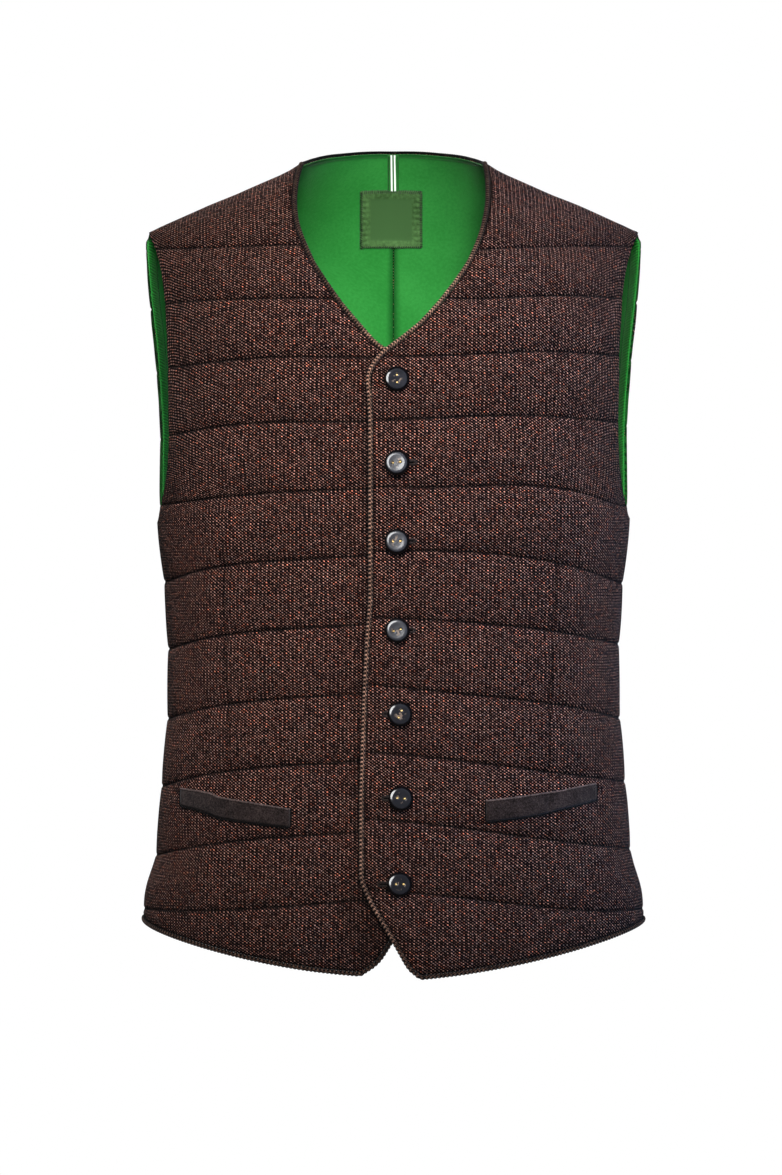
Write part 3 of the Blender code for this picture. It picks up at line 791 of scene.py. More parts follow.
# %% Steps of the grid
NEAR_LINE = np.array((0.35, 0.8, 1.4, 2.3, 3.6, 5.5, 8.0, 11.5, 16.0))  # millimetres from a stitch line
NEAR_EDGE = np.array((0.3, 0.8, 1.5, 2.5, 4.0))
CHANNEL_HEIGHT = 51.0
FRONT_SPAN, BACK_SPAN = 265, 520  # a panel's width for spacing its columns
FRONT_COLUMNS, BACK_COLUMNS = 171, 257
FULL_HEIGHT, FULL_SIDE = 40, 14  # a roll is full in a channel this high, this far from the side edges
FLAT_FROM, FLAT_OVER = 130, 50  # distance from the middle over which the rolls sink to half
UNEVEN, UNEVEN_WAVE = 0.17, 70
CREASE, CREASE_WIDTH, CREASE_PIN = 0.75, 1.15, 1.3
PUCKER, PUCKER_WAVE, PUCKER_REACH = 0.34, 11.0, 7.0
EDGE_ROLL, EDGE_DEPTH = 1.6, 1.3
# painted shade: on each crease, above it, and along the hem
LINE_SHADE, LINE_REACH = 0.92, 0.85  # how dark a crease is and how wide
UNDER_SHADE, UNDER_REACH = 0.24, 12  # the same for the shade above it
HEM_SHADE, HEM_REACH = 0.5, 2.2
DENT, DENT_WIDE, DENT_UP, DENT_DOWN = 1.3, 14, 17, 12
DART_DEPTH, DART_TOP, DART_SPREAD = 0.55, -272, 6.0
TIP_ROUND, TIP_UPRIGHT = 10.0, 200.5
BAND, BAND_TOP, BAND_ROLL = 4.0, -205, 1.5  # the armhole's turned band: width, where it starts, depth


def channel_steps():
    """Shares of a channel's height, close together near both of its lines."""
    near = NEAR_LINE / CHANNEL_HEIGHT
    return np.concatenate([[0], near, [0.5 - 0.08, 0.5, 0.58], 1 - near[::-1]])


def top_steps(count=44):
    """Shares of the top channel: crowded near its line, then even along the rounded shoulder."""
    near = NEAR_LINE[:5] / CHANNEL_HEIGHT
    even = 1 - (1 - np.linspace(0, 1, count)) ** 2
    return np.concatenate([[0], near, even[even > near[-1] + 0.02]])


def row_places(lines):
    """(lower line, share of the way up) for each row; one more than a multiple of four, to halve twice."""
    shares = [channel_steps()] * (lines - 1) + [top_steps()]
    places = [(k, s) for k, row in enumerate(shares) for s in row]
    while len(places) % 4 != 1:
        places.insert(-1, (lines - 1, (places[-2][1] + 1) / 2))
    return np.array([p[0] for p in places]), np.array([p[1] for p in places])


def column_places(width, count):
    """Shares of a panel's width, crowded near both edges, an odd number in all."""
    near = NEAR_EDGE / width
    middle = np.linspace(near[-1], 1 - near[-1], count - 2 * len(near))
    return np.concatenate([[0], near[:-1], middle, 1 - near[-2::-1], [1]])


# %% Points of a front
def outer_angle(table, z):
    """A panel's outer end: the side seam below the underarm, the armhole above it."""
    at_armhole = angle_of(along(table, z), z)
    return np.where(z < UNDERARM + 1, math.pi / 2, at_armhole)


def front_points(lines, edge, columns):
    """The form's points of a front, seen as the left one, with each row's line and share."""
    k, s = row_places(len(lines))
    u = column_places(FRONT_SPAN, columns)
    fits = [np.polyfit(np.linspace(0, 1, 5), row, 4) for row in lines]
    heights = np.array([np.polyval(fit, u) for fit in fits])
    low = heights[k]
    high = heights[np.minimum(k + 1, len(lines) - 1)]
    first_top, last_top = angle_of(along(edge, 0.0), 0.0), angle_of(TIP_HALF, TIP_HEIGHT)
    x = on_form(first_top + u * (last_top - first_top), TOP_READ, False)[:, 0] + 0 * low
    for _ in range(5):
        top = np.where((k == len(lines) - 1)[:, None], shoulder(x), high)
        z = (1 - s[:, None]) * low + s[:, None] * top
        first = angle_of(along(edge, z[:, 0]), z[:, 0])
        last = outer_angle(FRONT_ARMHOLE, z[:, -1])
        angle = first[:, None] + u * (last - first)[:, None]
        points = on_form(angle, z, False)
        x = points[..., 0]
    return points, k, s


def line_places(points, k, s):
    """Distances on a panel: up its columns, to the nearest stitch line, to its hem or top edge, and the
    height of the channel."""
    up = run_of(points, 0)
    lines = np.flatnonzero(s == 0)
    below = up - up[lines][k]
    above = np.vstack([up[lines][1:], up[-1:]])[k] - up
    first, last = (k == 0)[:, None], (k == k.max())[:, None]
    near = np.minimum(np.where(first, FAR, below), np.where(last, FAR, above))
    ends = np.minimum(np.where(first, below, FAR), np.where(last, above, FAR))
    return up, near, ends, below + above


def roll(distance):
    """How far a turned edge has curved down at this distance from it: a quarter circle."""
    return -EDGE_DEPTH * (1 - arc(distance / EDGE_ROLL))


def quilted(points, k, s, press, seed):
    """Height of the quilted cloth over the form: roll between lines, crease, puckers and turned edges."""
    _, near, ends, height = line_places(points, k, s)
    across = run_of(points, 1)
    sides = np.minimum(across, across[:, -1:] - across)
    x = points[..., 0]
    rise = (4 * s * (1 - s)) ** 0.6
    swell = PUFF * rise[:, None] * np.clip(height / FULL_HEIGHT, 0, 1) ** 0.8
    swell *= np.clip(sides / FULL_SIDE, 0, 1) ** 0.5
    swell *= 1 - 0.5 * np.clip((np.abs(x) - FLAT_FROM) / FLAT_OVER, 0, 1)
    swell *= 1 - overlap_share(x) * press
    for line in range(k.max() + 1):
        rows = k == line
        swell[rows] *= 1 + UNEVEN * ripple(across[rows], UNEVEN_WAVE, seed + line)
    pucker = np.zeros_like(x)
    for line in range(1, k.max() + 1):
        rows = (k == line) & (s < 0.5) | (k == line - 1) & (s >= 0.5)
        pucker[rows] = ripple(across[rows], PUCKER_WAVE, seed + 50 + line)
    pinned = 1 - np.exp(-near / CREASE_PIN)
    pucker *= PUCKER * np.exp(-near / PUCKER_REACH) * pinned * np.clip(sides / 6, 0, 1)
    crease = -CREASE * bell(near, CREASE_WIDTH) * np.clip(sides / 3, 0.3, 1)
    return swell + pucker + crease + roll(sides) + roll(ends / 3)


def crease_shade(points, k, s):
    """Painted shade in the creases, from 0 to 1: a dark line painted along each stitch line, a soft painted
    shade above it where the roll turns under, and painted shade along the hem."""
    up, near, ends, _ = line_places(points, k, s)
    above_line = up - up[np.flatnonzero(s == 0)][k]
    under = UNDER_SHADE * np.exp(-above_line / UNDER_REACH)
    hem_shade = HEM_SHADE * bell(ends, HEM_REACH, 4) * (k == 0)[:, None]
    return laid_over(under + hem_shade, LINE_SHADE * bell(near, LINE_REACH))


def neck_lift(x):
    """How far the collar edge stands up over the pattern: most inside the neck's corners, and a little
    below it along the shoulder beside them."""
    off = np.abs(x)
    rim = (1.5 + 1.5 * smoothstep((off - 34) / 28)) * smoothstep((84 - off) / 18)
    return rim - 1.05 * smoothstep((off - 76) / 16) * smoothstep((150 - off) / 28)


def eased(points):
    """Raises the collar edge, and rounds the shoulder's outer corner: distances from the shoulder line
    and from an upright line beside the armhole, under TIP_ROUND, are drawn in to a quarter circle."""
    x, z = np.abs(points[..., 0]), points[..., 2]
    z = z + neck_lift(x) * smoothstep(1 + (z - back_top(x)) / 36)
    slant = math.cos(math.atan(SLOPE))
    under = np.clip(TIP_ROUND - (shoulder(x) - z) * slant, 0, TIP_ROUND) * (x > ARMHOLE_SIDE)
    beside = np.clip(TIP_ROUND - (TIP_UPRIGHT - x), 0, TIP_ROUND)
    shrink = 1 - np.minimum(1, TIP_ROUND / np.maximum(np.hypot(under, beside), 1e-6))
    moved = x - beside * shrink
    z = z + shoulder(moved) - shoulder(x) - under * shrink / slant
    return np.stack([moved * np.sign(points[..., 0]), points[..., 1], z], axis=-1)


def dart_groove(x, z, table):
    """The narrow stitched groove of a dart along a table of (height, x), fading out at its top."""
    return -DART_DEPTH * bell(x - along(table, z, DART_SPREAD), 1) * smoothstep((DART_TOP - z) / 25)


def button_dents(x, z):
    """A button holds its cloth down: a soft round dent that reaches further up than down."""
    total = 0 * x
    for bx, bz, *_ in BUTTONS:
        up = (z - bz) / np.where(z > bz, DENT_UP, DENT_DOWN)
        total = total - DENT * np.exp(-(((x - bx) / DENT_WIDE) ** 2) - up**2)
    return total


def armhole_band(points, across):
    """The turned band low on the armhole: it rolls inwards within BAND of the edge, behind a groove. Its
    cells take the darker copy of the tweed, which is painted shade.
    """
    off = across[:, -1:] - across
    share = smoothstep((BAND_TOP - points[..., 2]) / 40) * (points[..., 2] > UNDERARM - 1)
    rolled = -BAND_ROLL * (1 - arc(off / BAND)) - 0.55 * bell(off - BAND, 0.9)
    return rolled * share, np.where((off < BAND - 0.2) & (share > 0.5) | (across < 0.7), 1, 0)


def soft_folds(x, z, table):
    """Listed creases: each row is a soft trough or ridge along a short straight line."""
    total = 0
    for cx, cz, lean, length, width, depth in table:
        turn = math.radians(lean)
        along_fold = (x - cx) * math.sin(turn) + (z - cz) * math.cos(turn)
        beside_fold = (x - cx) * math.cos(turn) - (z - cz) * math.sin(turn)
        total = total + depth * bell(along_fold, length) * bell(beside_fold, width)
    return total


BACK_GIRTH = 1.32  # half the back's girth for each half of its width


def cut_map(points, back):
    """Where each point lies on the flat cloth: U runs round the body, V up it, both in millimetres.

    U adds up steps round the level section, read no higher than the chest, so wales run straight up.
    """
    x, z = points[..., 0], np.minimum(points[..., 2], CHEST)
    share = np.clip(np.abs(x) / smooth(z, 1), 0, 1)
    y = smooth(z, 3 if back else 2) * (1 - share**FORM_POWER) ** (1 / FORM_POWER)
    flat = np.stack([x, y, 0 * x], axis=-1)
    start = x[:, :1] * (BACK_GIRTH if back else 1)
    u = start + run_of(flat, 1)
    upright = points * (0, 1, 1)
    v = points[:1, :, 2] + run_of(upright, 0)
    return np.stack([u, v], axis=-1)


# %% [markdown]
# ### The two fronts
# The right front is worked out as a left one with its own edge and lines, and mirrored at the end. The
# left front is moved out and the right one in by the same amount where they lap over each other.

# %% Make the fronts
LEFT_FOLDS = (
    # x, z, lean in degrees from upright, half length, half width, depth
    (150, -560, -12, 40, 11, -0.9), (96, -585, 10, 34, 9, 0.7), (166, -330, 8, 44, 9, -0.9),
    (150, -250, -28, 30, 8, -0.8), (60, -470, -24, 34, 10, -0.5), (172, -470, 4, 60, 8, 0.7),
    (40, -330, 30, 24, 8, -0.5), (110, -120, 24, 34, 12, -0.7),
)
RIGHT_FOLDS = (
    (158, -540, -8, 46, 10, -1.0), (84, -590, 14, 30, 10, 0.7), (168, -350, 10, 40, 9, -0.8),
    (148, -240, -34, 32, 9, -0.9), (70, -455, -18, 38, 11, -0.5), (170, -430, 2, 56, 8, 0.7),
    (120, -135, 20, 36, 12, -0.6), (62, -300, 24, 26, 9, -0.4),
)
# painted shade beside the piping and along the dart, and painted shadow that the upper front casts on the
# lower one beside its edge and under its point
PIPED_SHADE, PIPED_REACH = (0.35, 0.55), 1.7  # low on the edge, and what the V adds to it
DART_SHADE, DART_REACH = 0.6, 1.3
UNDER_LAP, UNDER_LAP_OFF, UNDER_LAP_REACH = 0.86, 2.8, 3.6
POINT_SHADE, POINT_MIDDLE, POINT_REACH = 0.4, 14, 30


def front_shade(creases, form, across, dart, below):
    """Painted shade on a front: in its creases, in the groove beside its piping and along its dart. On the
    lower front a painted shadow also lies beside the upper one's edge and where that one's point hangs over
    it."""
    x, z = form[..., 0], form[..., 2]
    groove_shade = (PIPED_SHADE[0] + PIPED_SHADE[1] * smoothstep((z + 190) / 20)) * bell(across, PIPED_REACH, 4)
    sewn = DART_SHADE * bell(x - along(dart, z, DART_SPREAD), DART_REACH) * smoothstep((-285 - z) / 30)
    sewn *= smoothstep((z + 500) / 40)
    shade = laid_over(creases, groove_shade, sewn)
    if below:
        beyond = np.maximum(x + along(LEFT_EDGE, z) - UNDER_LAP_OFF, 0)
        point_shadow = POINT_SHADE * bell(x - POINT_MIDDLE, POINT_REACH) * smoothstep((-555 - z) / 40)
        shade = laid_over(shade, UNDER_LAP * bell(beyond, UNDER_LAP_REACH, 1.4), point_shadow)
    return shade


def front_skin(name, lines, edge, side, lap, press, dart, folds, seed):
    """One front as a shell; also its middle surface and normals for what is sewn to it. The upper one,
    with a lap above 0, has the buttons and their dents."""
    points, k, s = front_points(lines, edge, FRONT_COLUMNS)
    normals = normals_of(points)
    x, z = points[..., 0], points[..., 2]
    uv = cut_map(points, False)
    form = points
    lift = quilted(points, k, s, press, seed) + dart_groove(x, z, dart)
    lift += soft_folds(x, z, folds) * np.clip(run_of(points, 1) / 20, 0, 1)
    if lap > 0:
        lift += button_dents(x, z)
    points = eased(points + normals * (lap * overlap_share(x))[..., None])
    across = run_of(points, 1)
    sides = np.minimum(across, across[:, -1:] - across)
    band, bound = armhole_band(points, across)
    outer = points + normals * (lift + band)[..., None]
    inner = points - normals * (WALL + 0.4 * roll(sides))[..., None]
    shade = front_shade(crease_shade(points, k, s), form, across, dart, lap < 0)
    flip = np.array((side, 1, 1))
    cloths = (TWEED, TWEED_EDGE_SHADED, LINING_GREEN)
    piece = shell(name, outer * flip, (inner * flip)[::2, ::2], cloths, uv * (side, 1), bound[:-1, :-1],
                  shade=shade)
    ridden(piece, "tweed", name.replace("_cloth", ""))
    return {"outer": outer * flip, "points": points * flip, "normals": normals * flip, "s": s}


left = front_skin("front_left_cloth", LEFT_LINES, LEFT_EDGE, 1, LAP, 0.3, LEFT_DART, LEFT_FOLDS, 11)
right = front_skin("front_right_cloth", RIGHT_LINES, RIGHT_EDGE, -1, -LAP, 0.65, RIGHT_DART, RIGHT_FOLDS, 211)

# %% [markdown]
# ### The back
# The back is one piece. Its quilting lines join those of the fronts at the side seams. Towards the top
# its columns gather to the places of BACK_TOP, so that one column meets each corner of the neck.

# %% Make the back
BACK_FOLDS = (
    (150, -560, -10, 42, 11, -0.9), (-146, -566, 12, 38, 10, -0.9), (60, -590, 6, 34, 10, 0.7),
    (-70, -592, -8, 32, 10, 0.6), (164, -300, 12, 46, 10, -0.9), (-166, -320, -10, 42, 9, -0.9),
    (146, -210, 34, 34, 10, -0.8), (-150, -205, -30, 34, 10, -0.8), (0, -330, 0, 70, 14, -0.7),
    (30, -90, 78, 40, 9, -0.5),
)


def back_points(columns):
    """The form's points of the back from right to left, with each row's line and share."""
    u = 2 * column_places(BACK_SPAN, columns) - 1
    ends = [(r[4], l[4]) for r, l in zip(RIGHT_LINES[2:], LEFT_LINES[2:])]
    heights = [BACK_HEM_MIDDLE + (BACK_HEM_SIDE - BACK_HEM_MIDDLE) * u**2]
    heights = np.array(heights + [low + (high - low) * (u + 1) / 2 for low, high in ends])
    k, s = row_places(len(heights))
    top_half = np.array(BACK_TOP, float)
    place = np.interp(np.abs(u), np.linspace(0, 1, len(top_half)), top_half)
    top_angle = angle_of(np.sign(u) * place, TOP_READ)
    is_top = (k == k.max())[:, None]
    low, high = heights[k], heights[np.minimum(k + 1, len(heights) - 1)]
    x = np.sign(u) * place + 0 * low
    for _ in range(5):
        z = (1 - s[:, None]) * low + s[:, None] * np.where(is_top, back_top(x), high)
        right_end, left_end = (outer_angle(BACK_ARMHOLE, z[:, c])[:, None] for c in (0, -1))
        even = np.where(u < 0, u * right_end, u * left_end)
        crowd = np.clip((z + 200) / 200, 0, 1) ** 1.2
        crowd = np.where(is_top, crowd + (1 - crowd) * s[:, None], crowd)
        angle = (1 - crowd) * even + crowd * top_angle
        angle[:, [0, -1]] = even[:, [0, -1]]
        points = on_form(angle, z, True)
        x = points[..., 0]
    return points, k, s


points, k, s = back_points(BACK_COLUMNS)
points = eased(points)
normals = normals_of(points)
lift = quilted(points, k, s, 0.0, 411) + soft_folds(points[..., 0], points[..., 2], BACK_FOLDS)
outer = points + normals * lift[..., None]
back_inner = points - normals * WALL
across = run_of(points, 1)
in_armhole = (points[..., 2] > UNDERARM) & (np.minimum(across, across[:, -1:] - across) < 0.7)


def armhole_rim(middles):
    """The edge of the back's armholes is bound in the lining's green."""
    x, z = np.abs(middles[:, 0]), middles[:, 2]
    return (x > ARMHOLE_SIDE) & (z > UNDERARM) & (z < TIP_HEIGHT - 1)


cloths = (TWEED, TWEED_EDGE_SHADED, TWEED, FACING_GREEN)
bound = np.where(in_armhole, 3, 0)[:-1, :-1]
back_cloth = shell("back_cloth", outer, back_inner[::2, ::2], cloths, cut_map(points, True) * (-1, 1), bound,
                   armhole_rim, crease_shade(points, k, s))
ridden(back_cloth, "tweed", "back")
back = {"outer": outer, "points": points, "normals": normals, "inner": back_inner, "s": s}

# %% [markdown]
# ## The green lining
# Inside the back hang two halves of cotton, joined by a seam down the middle. They are thin shells just
# inside the back's own inner face. Further down a facing 13 mm wide is topstitched along each armhole,
# and its stitches draw it up into small ribs.

# %% Make the lining halves
LINING_FOLDS = (
    # x, z, lean, half length, half width, depth: long soft folds of the loose cotton
    (44, -150, -14, 70, 10, 0.9), (-48, -160, 16, 80, 11, -0.8), (90, -260, -4, 110, 12, 0.9),
    (-96, -240, 6, 120, 12, 0.9), (20, -330, 2, 130, 9, -0.7), (-24, -300, -2, 120, 9, 0.6),
    (140, -420, -3, 120, 12, 0.8), (-142, -430, 4, 120, 12, -0.8), (60, -480, 3, 110, 12, 0.8),
    (-64, -500, -3, 110, 12, 0.7),
)


def lining_half(name, columns, seam_x):
    """Every second point of the back, moved inside it; the seam side is rolled towards the back. Painted
    shade darkens it in that seam and where it turns in under the neck's edge, most at the corners."""
    base, out = back["inner"][::2, columns], back["normals"][::2, columns]
    x, z = base[..., 0], base[..., 2]
    across, up = run_of(base, 1), run_of(base, 0)
    from_seam = across if seam_x > 0 else across[:, -1:] - across
    sink = 0.7 * bell(from_seam, 1.6)
    fold = soft_folds(x, z, LINING_FOLDS) * np.clip(from_seam / 12, 0, 1)
    pucker = 0.12 * ripple(up, 7.0, 61) * np.exp(-from_seam / 5)
    depth = SEAM_GAP + LINING + 0.5 * np.abs(fold) + 0.5 * fold + pucker - sink
    seen = base - out * np.maximum(depth, SEAM_GAP + 0.2)[..., None]
    hidden = base - out * (SEAM_GAP / 2)
    middle = 0 if seam_x > 0 else -1
    seen[:, middle, 0] = hidden[:, middle, 0] = seam_x
    # painted shade: under the neck's edge, widest at the corners, and in the middle seam
    corner = smoothstep((np.abs(x) - 45) / 25)
    turned = (0.7 + 0.28 * corner) * bell(up[-1:] - up, 3.0 + 1.6 * corner)
    shade = laid_over(turned, 0.6 * bell(from_seam, 1.4))
    piece = shell(name, seen, hidden[::2, ::2], (LINING_GREEN,) * 3, cut_map(base, True), shade=shade)
    ridden(piece, "lining", name.replace("_cotton", ""))
    return seen


half = (BACK_COLUMNS - 1) // 2
lining_right = lining_half("lining_back_right_cotton", slice(0, half + 1, 2), -SEAM_GAP / 2)
lining_left = lining_half("lining_back_left_cotton", slice(half, None, 2), SEAM_GAP / 2)

# %% [markdown]
# ## Pieces that follow a line
# Piping, facing and every row of stitches follow a line that lies on the cloth. `even_line` reads such a
# line at even steps, and carries the cloth's normal and the direction across the line with it. The cord
# is a tube that swells into a bead at every turn of its yarn, and only the side away from the cloth takes
# painted light. A sewn thread is a small arc from where the needle comes up to where it goes in.

# %% Helpers for lines
def unit(v):
    """Each vector divided by its length."""
    return v / (np.linalg.norm(v, axis=-1, keepdims=True) + 1e-12)


def even_line(points, normals, step, soften=1):
    """Places, normals and sideways directions every `step` along a line, smoothed over `soften` steps."""
    run = np.concatenate([[0], np.cumsum(np.linalg.norm(np.diff(points, axis=0), axis=1))])
    at = np.linspace(0, run[-1], int(run[-1] / step) + 1)
    read = [np.stack([np.interp(at, run, values[:, c]) for c in range(3)], axis=1)
            for values in (points, normals)]
    if soften > 1:
        ends = [np.pad(values, ((soften // 2, soften // 2), (0, 0)), mode="reflect", reflect_type="odd")
                for values in read]
        kernel = np.ones(soften) / soften
        read = [np.stack([np.convolve(v[:, c], kernel, "valid") for c in range(3)], axis=1) for v in ends]
    place, normal = read[0], unit(read[1])
    side = unit(np.cross(np.gradient(place, axis=0), normal))
    return place, normal, side, at


def tube(name, place, normal, side, radius, sides, cloth, u_of, v):
    """A closed tube: rings of radius(ring, angle) in the plane of the normal and the sideways direction.

    Its UV map holds u_of(ring, angle) and v, a value for each point.
    """
    count = len(place)
    numbers, turn = np.arange(count)[:, None], np.arange(sides) * 2 * np.pi / sides
    way = np.cos(turn)[:, None] * normal[:, None] + np.sin(turn)[:, None] * side[:, None]
    ring = place[:, None] + radius(numbers, turn)[..., None] * way
    points = np.concatenate([ring.reshape(-1, 3), place[:1], place[-1:]])
    at = np.arange(count * sides).reshape(count, sides)
    after = np.roll(at, -1, axis=1)
    caps = [np.stack([after[0], at[0], np.full(sides, count * sides)], axis=-1),
            np.stack([at[-1], after[-1], np.full(sides, count * sides + 1)], axis=-1)]
    uv = np.stack(np.broadcast_arrays(u_of(numbers, turn), v), axis=-1).reshape(-1, 2)
    uv = np.concatenate([uv, uv[:1], uv[-1:]])
    return make(name, points, [ring_quads(at), *caps], (cloth,), None, uv)


CORD_STEP, CORD_SIDES = 0.42, 12


def twisted_cord(name, line, diameter, pitch, cloth, node, painted_light, lean=0.0):
    """A cord with a bead every `pitch`. Its light is painted: each place gets a given share of painted light,
    on the side that `lean` turns.
    """
    place, normal, side, at = line
    turns = np.cumsum(np.gradient(at) / pitch)
    around = np.arange(CORD_SIDES) * 2 * np.pi / CORD_SIDES
    # painted light: each place's share, laid on the side away from the cloth
    light = painted_light[:, None] * smoothstep((np.cos(around - lean) - 0.45) / 0.45)

    def phase(ring, turn):
        return turns[ring] - turn / (2 * np.pi)

    def radius(ring, turn):
        crest = 0.5 + 0.5 * np.cos(2 * np.pi * phase(ring, turn))
        return diameter / 2 * (0.72 + 0.33 * crest**0.6)

    piece = tube(name, place, normal, side, radius, CORD_SIDES, cloth, phase, light)
    print(name, round(at[-1]), "mm of cord,", len(piece.data.polygons), "faces")
    ridden(piece, "cord", node)


THREAD_RINGS = np.array((0.0, 0.12, 0.5, 0.88, 1.0))  # how far along a stitch its rings are
THREAD_THICK = np.array((0.35, 0.9, 1.0, 0.9, 0.35))
THREAD_SIDES = 5


def threads(name, start, end, normal, radius, rise, cloth, slot):
    """Sewn stitches joined in one mesh: arcs from start to end that rise along the normal."""
    t, thick = THREAD_RINGS, THREAD_THICK * radius
    turn = np.arange(THREAD_SIDES) * 2 * np.pi / THREAD_SIDES
    run = end - start
    side = unit(np.cross(run, normal))
    centre = start[:, None] + run[:, None] * t[:, None]
    centre = centre + normal[:, None] * (rise * np.sin(np.pi * t))[:, None]
    ring = np.cos(turn)[:, None] * normal[:, None, None] + np.sin(turn)[:, None] * side[:, None, None]
    points = centre[:, :, None] + thick[:, None, None] * ring
    at = np.arange(len(start) * len(t) * THREAD_SIDES).reshape(-1, len(t), THREAD_SIDES)
    caps = np.concatenate([at[:, 0, ::-1], at[:, -1]])
    piece = make(name, points.reshape(-1, 3), [ring_quads(at), caps], (cloth,))
    print(name, len(start), "stitches")
    ridden(piece, slot)


# %% Piping of the fronts and the back neck
# HEM_LIGHT is the share of painted light the cord keeps on the hem
PIPING, NECK_CORD, HEM_LIGHT = 4.0, 2.3, 0.3
PITCH_ROUND_V, PITCH_DOWN, PITCH_NECK = 2.5, 3.2, 2.0


def edge_line(points, normals, reach, lift):
    """A line beside an edge of a panel: off the panel by `reach`, out of it by `lift`."""
    place, normal, side, at = even_line(points, normals, CORD_STEP, 9)
    return place + side * reach + normal * lift, normal, side, at


def front_piping(name, panel, side, node, fade_from, low_from, low_light):
    """From the shoulder round the neckline, the front edge and the hem. Painted light brightens it down the
    front, less above `fade_from`; below `low_from` and on the hem it keeps only a share of that painted
    light."""
    edge = np.concatenate([panel["points"][::-1, 0], panel["points"][0, 1:]])
    out = np.concatenate([panel["normals"][::-1, 0], panel["normals"][0, 1:]])
    line = edge_line(edge, out, side * (PIPING / 2 - 0.45), -0.75)
    keep = slice(int(2.0 / CORD_STEP), -int(1.4 / CORD_STEP))
    line = [values[keep] for values in line]
    line[3] = line[3] - line[3][0]
    z, off = line[0][:, 2], line[0][:, 0] * side
    on_hem = smoothstep((off - 8) / 14) * (z < -590)
    low = 1 - (1 - low_light) * smoothstep((low_from - z) / 14)
    painted_light = (1 - 0.75 * smoothstep((z - fade_from) / 60)) * ((1 - on_hem) * low + on_hem * HEM_LIGHT)
    pitch = PITCH_ROUND_V + (PITCH_DOWN - PITCH_ROUND_V) * smoothstep((-165 - z) / 25)
    twisted_cord(name, line, PIPING, pitch, PIPING_CORD, node, painted_light, 0.2 * side)


front_piping("cord_front_left", left, 1, "piping_front_left", -105, -604, 0.4)
front_piping("cord_front_right", right, -1, "piping_front_right", -160, -560, 0.1)

neck = np.abs(back["points"][-1, :, 0]) < NECK_HALF + 0.5
neck_line = edge_line(back["points"][-1, neck], back["normals"][-1, neck], NECK_CORD / 2 - 0.7, -0.6)
neck_line = [values[4:-4] for values in neck_line]
evenly = np.ones(len(neck_line[0]))
twisted_cord("cord_back_neck", neck_line, NECK_CORD, PITCH_NECK, NECK_RIM_SHADED, "piping_back_neck", evenly)

# %% [markdown]
# ### Seams and facings
# The fronts and the back stand a little apart at the side and shoulder seams, and a thin brown roll inside
# the walls closes each gap. Each facing follows the armhole's edge, read from the lining's outermost
# points, and lies a little above the cotton.

# %% Side and shoulder seams
SEAM_THICK, SEAM_SIDES, SEAM_STEP = 2.2, 8, 1.5


def seam(name, points, normals):
    """A thin roll of turned cloth inside the walls that closes a seam between a front and the back."""
    place, normal, side, at = even_line(points - normals * (WALL / 2), normals, SEAM_STEP, 3)

    def number(ring, turn):
        return ring + 0 * turn

    def radius(ring, turn):
        return SEAM_THICK / 2 + 0 * number(ring, turn)

    piece = tube(name, place, normal, side, radius, SEAM_SIDES, THREAD_BROWN, number, 0.0)
    print(name, round(at[-1]), "mm")
    ridden(piece, "tweed")


for word, panel in (("left", left), ("right", right)):
    below = panel["points"][:, -1, 2] < UNDERARM + 0.5
    seam("seam_side_" + word, panel["points"][below, -1], panel["normals"][below, -1])
    seam("seam_shoulder_" + word, panel["points"][-1, 2:-2], panel["normals"][-1, 2:-2])

# %% Facings round the armholes of the lining
FACING_WIDTH, FACING_THICK, FACING_STEP = 13.0, 0.75, 0.4


def facing(name, seen, end, seed):
    """A ribbed strip on the lining along the armhole: a low arch across, ribs that lean along it."""
    rows = seen[:, end, 2] > UNDERARM - 1
    inward = 6 if end == 0 else -7
    edge, inner = seen[rows, end], seen[rows, inward]
    into = unit(inner - edge)
    place, direction, _, at = even_line(edge, into, FACING_STEP, 5)
    tangent = unit(np.gradient(place, axis=0))
    out = np.cross(tangent, direction)
    out *= np.sign(np.sum(out * -place * (1, 1, 0), axis=1))[:, None]
    across = np.linspace(0, 1, 21)
    arch = np.sqrt(np.maximum(1 - (2 * across - 1) ** 4, 0))
    lean = at[:, None] / RIB_PITCH + 1.3 * across + 0.25 * ripple(at, 17, seed)[:, None]
    ribs = 0.55 + 0.45 * np.cos(2 * np.pi * lean)
    high = FACING_THICK * arch * (0.45 + 0.75 * ribs * np.sin(np.pi * across) ** 0.6)
    base = place[:, None] + direction[:, None] * (across * FACING_WIDTH)[:, None]
    if len(base) % 2 == 0:
        base, high, out, at = base[:-1], high[:-1], out[:-1], at[:-1]
    top = base + out[:, None] * (high + 0.12)[..., None]
    uv = np.stack(np.broadcast_arrays(lean[: len(at)] * RIB_PITCH, across * FACING_WIDTH), axis=-1)
    piece = shell(name, top, base[::2, ::2] + 0.02 * out[::2, None], (FACING_GREEN,) * 3, uv)
    ridden(piece, "lining")
    keep = np.arange(3, len(at) - 8, 5)
    spot = base[:, -1] + out * 0.1 + direction[: len(base)] * 0.35
    threads(name + "_stitches", spot[keep], spot[keep + 4], out[keep], 0.3, 0.15, THREAD_GREEN, "lining")


facing("armhole_facing_right", lining_right, 0, 71)
facing("armhole_facing_left", lining_left, -1, 72)

# %% [markdown]
# ## Quilting stitches
# Each stitch line is sewn with brown thread, about three millimetres a stitch. The thread lies at the
# bottom of the crease, so from a step away it only deepens the line.

# %% Sew the quilting lines
STITCH, STITCH_STEP, LINE_STEP = 2.2, 3.0, 0.25


